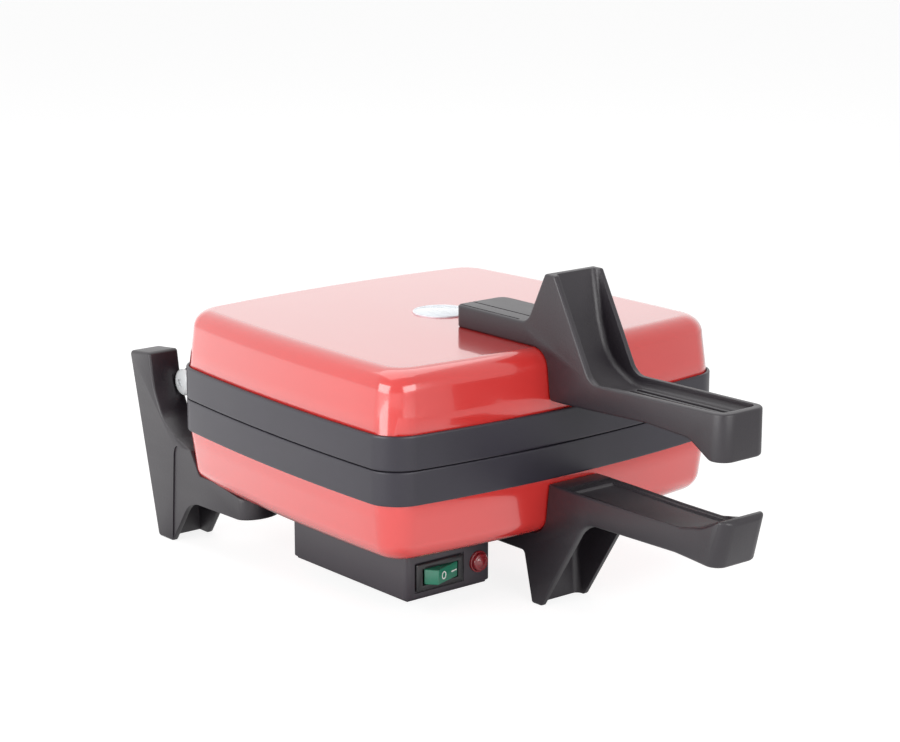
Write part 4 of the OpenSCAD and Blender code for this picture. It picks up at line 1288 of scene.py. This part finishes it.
@dataclass
class Studio:
    """Floor, light and camera."""

    azimuth: float = -39.48
    elevation: float = 13.68
    distance: float = 1.347
    focal_px: float = 2380.0
    target: tuple[float, float, float] = (0.00648, 0.04065, 0.10649)
    frame_px: float = 900.0
    sensor: float = 36.0
    floor_seen: float = 1.42
    floor_share: float = 0.6
    # Painted light: strength of the floor's glow in reflections towards the front and towards the left.
    floor_front: float = 0.8
    floor_left: float = 1.65
    sky_fill: float = 0.22
    sky_front: float = 0.7
    sky_back: float = 1.3

    def backdrop(self) -> None:
        """Lays the pale floor, which keeps the shadow, and sets the world. Seen in reflections, the floor glows with
        painted light that is brighter to the left, and with a painted shadow under and round the maker.
        """
        bm = bmesh.new()
        bmesh.ops.create_grid(bm, x_segments=1, y_segments=1, size=6.0)
        floor = _object(bm, "floor")
        material = bpy.data.materials.new("pale_floor")
        material.use_nodes = True
        s = Sketch(material.node_tree)
        shader = material.node_tree.nodes["Principled BSDF"]
        shader.inputs["Base Color"].default_value = (0.86, 0.86, 0.86, 1.0)
        shader.inputs["Roughness"].default_value = 0.75
        glow = s.add("ShaderNodeEmission")
        rays = s.add("ShaderNodeLightPath")
        place = s.add("ShaderNodeSeparateXYZ")
        s.put(s.add("ShaderNodeTexCoord").outputs["Object"], place.inputs[0])
        # Painted light: the floor's glow in reflections runs from floor_front towards the front to floor_left towards
        # the left.
        lean = s.maths("SUBTRACT", s.maths("MULTIPLY", place.outputs["Y"], 0.5),
                       s.maths("MULTIPLY", place.outputs["X"], 0.9))
        # Painted shadow: the floor's glow in reflections fades to a tenth under and round the maker's footprint.
        painted_shadow_distance = s.maths("MAXIMUM", s.maths("SUBTRACT", s.maths("ABSOLUTE", place.outputs["X"]), 0.105),
                       s.maths("SUBTRACT", s.maths("ABSOLUTE", s.maths("SUBTRACT", place.outputs["Y"], 0.04)), 0.11))
        mirrored = s.maths("MULTIPLY", s.span(lean, -0.5, 0.5, self.floor_front, self.floor_left),
                           s.span(painted_shadow_distance, -0.03, 0.05, 0.1, 1.0))
        s.put(s.span(rays.outputs["Is Camera Ray"], 0.0, 1.0, mirrored, self.floor_seen), glow.inputs["Strength"])
        share = s.maths("MAXIMUM", s.maths("MULTIPLY", rays.outputs["Is Camera Ray"], self.floor_share),
                        rays.outputs["Is Glossy Ray"])
        both = s.add("ShaderNodeMixShader")
        s.put(share, both.inputs[0])
        s.put(shader.outputs[0], both.inputs[1])
        s.put(glow.outputs[0], both.inputs[2])
        s.put(both.outputs[0], material.node_tree.nodes["Material Output"].inputs["Surface"])
        floor.data.materials.append(material)
        world = bpy.data.worlds.new("studio")
        bpy.context.scene.world = world
        world.use_nodes = True
        w = Sketch(world.node_tree)
        back = world.node_tree.nodes["Background"]
        path = w.add("ShaderNodeLightPath")
        seen = w.maths("MAXIMUM", path.outputs["Is Camera Ray"], path.outputs["Is Glossy Ray"])
        way = w.add("ShaderNodeSeparateXYZ")
        w.put(w.add("ShaderNodeTexCoord").outputs["Generated"], way.inputs[0])
        mirrored = w.span(way.outputs["Y"], -1.0, 1.0, self.sky_front, self.sky_back)
        w.put(w.span(seen, 0.0, 1.0, self.sky_fill, mirrored), back.inputs["Strength"])
        back.inputs["Color"].default_value = (1, 1, 1, 1)

    def lamp(self, name: str, at: Sequence[float], size: Point, power: float) -> None:
        """Hangs a soft rectangular lamp that looks at the maker.

        Args:
            name: The lamp's name.
            at: Its place.
            size: Its width and height.
            power: Its power in watts.
        """
        data = bpy.data.lights.new(name, "AREA")
        data.shape, data.size, data.size_y, data.energy = "RECTANGLE", size[0], size[1], power
        obj = bpy.data.objects.new(name, data)
        bpy.context.scene.collection.objects.link(obj)
        obj.location = at
        obj.rotation_euler = (Vector(self.target) - Vector(at)).to_track_quat("-Z", "Y").to_euler()

    def camera(self) -> None:
        """Sets the camera at the fitted place."""
        a, e = math.radians(self.azimuth), math.radians(self.elevation)
        back = Vector((math.sin(a) * math.cos(e), -math.cos(a) * math.cos(e), math.sin(e)))
        data = bpy.data.cameras.new("camera")
        data.sensor_width = self.sensor
        data.lens = self.focal_px * self.sensor / self.frame_px
        data.clip_start, data.clip_end = 0.05, 50
        cam = bpy.data.objects.new("camera", data)
        bpy.context.scene.collection.objects.link(cam)
        cam.location = Vector(self.target) + back * self.distance
        cam.rotation_euler = back.to_track_quat("Z", "Y").to_euler()
        bpy.context.scene.camera = cam

    def build(self) -> None:
        """Builds floor, lamps and camera."""
        self.backdrop()
        self.lamp("top_softbox", (0.1, 0.3, 1.5), (1.6, 1.6), 11)
        self.lamp("left_softbox", (-1.5, 0.0, 0.5), (1.2, 0.9), 15)
        self.lamp("front_fill", (-0.15, -1.7, 0.55), (1.3, 0.9), 15)
        self.camera()
        bpy.context.scene.view_settings.view_transform = "Standard"


def main() -> None:
    """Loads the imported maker, dresses it and sets the studio."""
    logging.basicConfig(level=logging.INFO, format="%(message)s")
    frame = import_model()
    effects = Effects()
    finish = {look.name: look.build(effects) for look in FINISHES}
    Shells().build(finish)
    Bands().build(finish)
    Grips().build(finish)
    RearLegs().build(finish)
    HingeScrews().build(finish)
    ControlBox().build(finish)
    Moulds().build(finish)
    Fittings().build(finish, frame["nodes"])
    Studio().build()


if __name__ == "__main__":
    main()
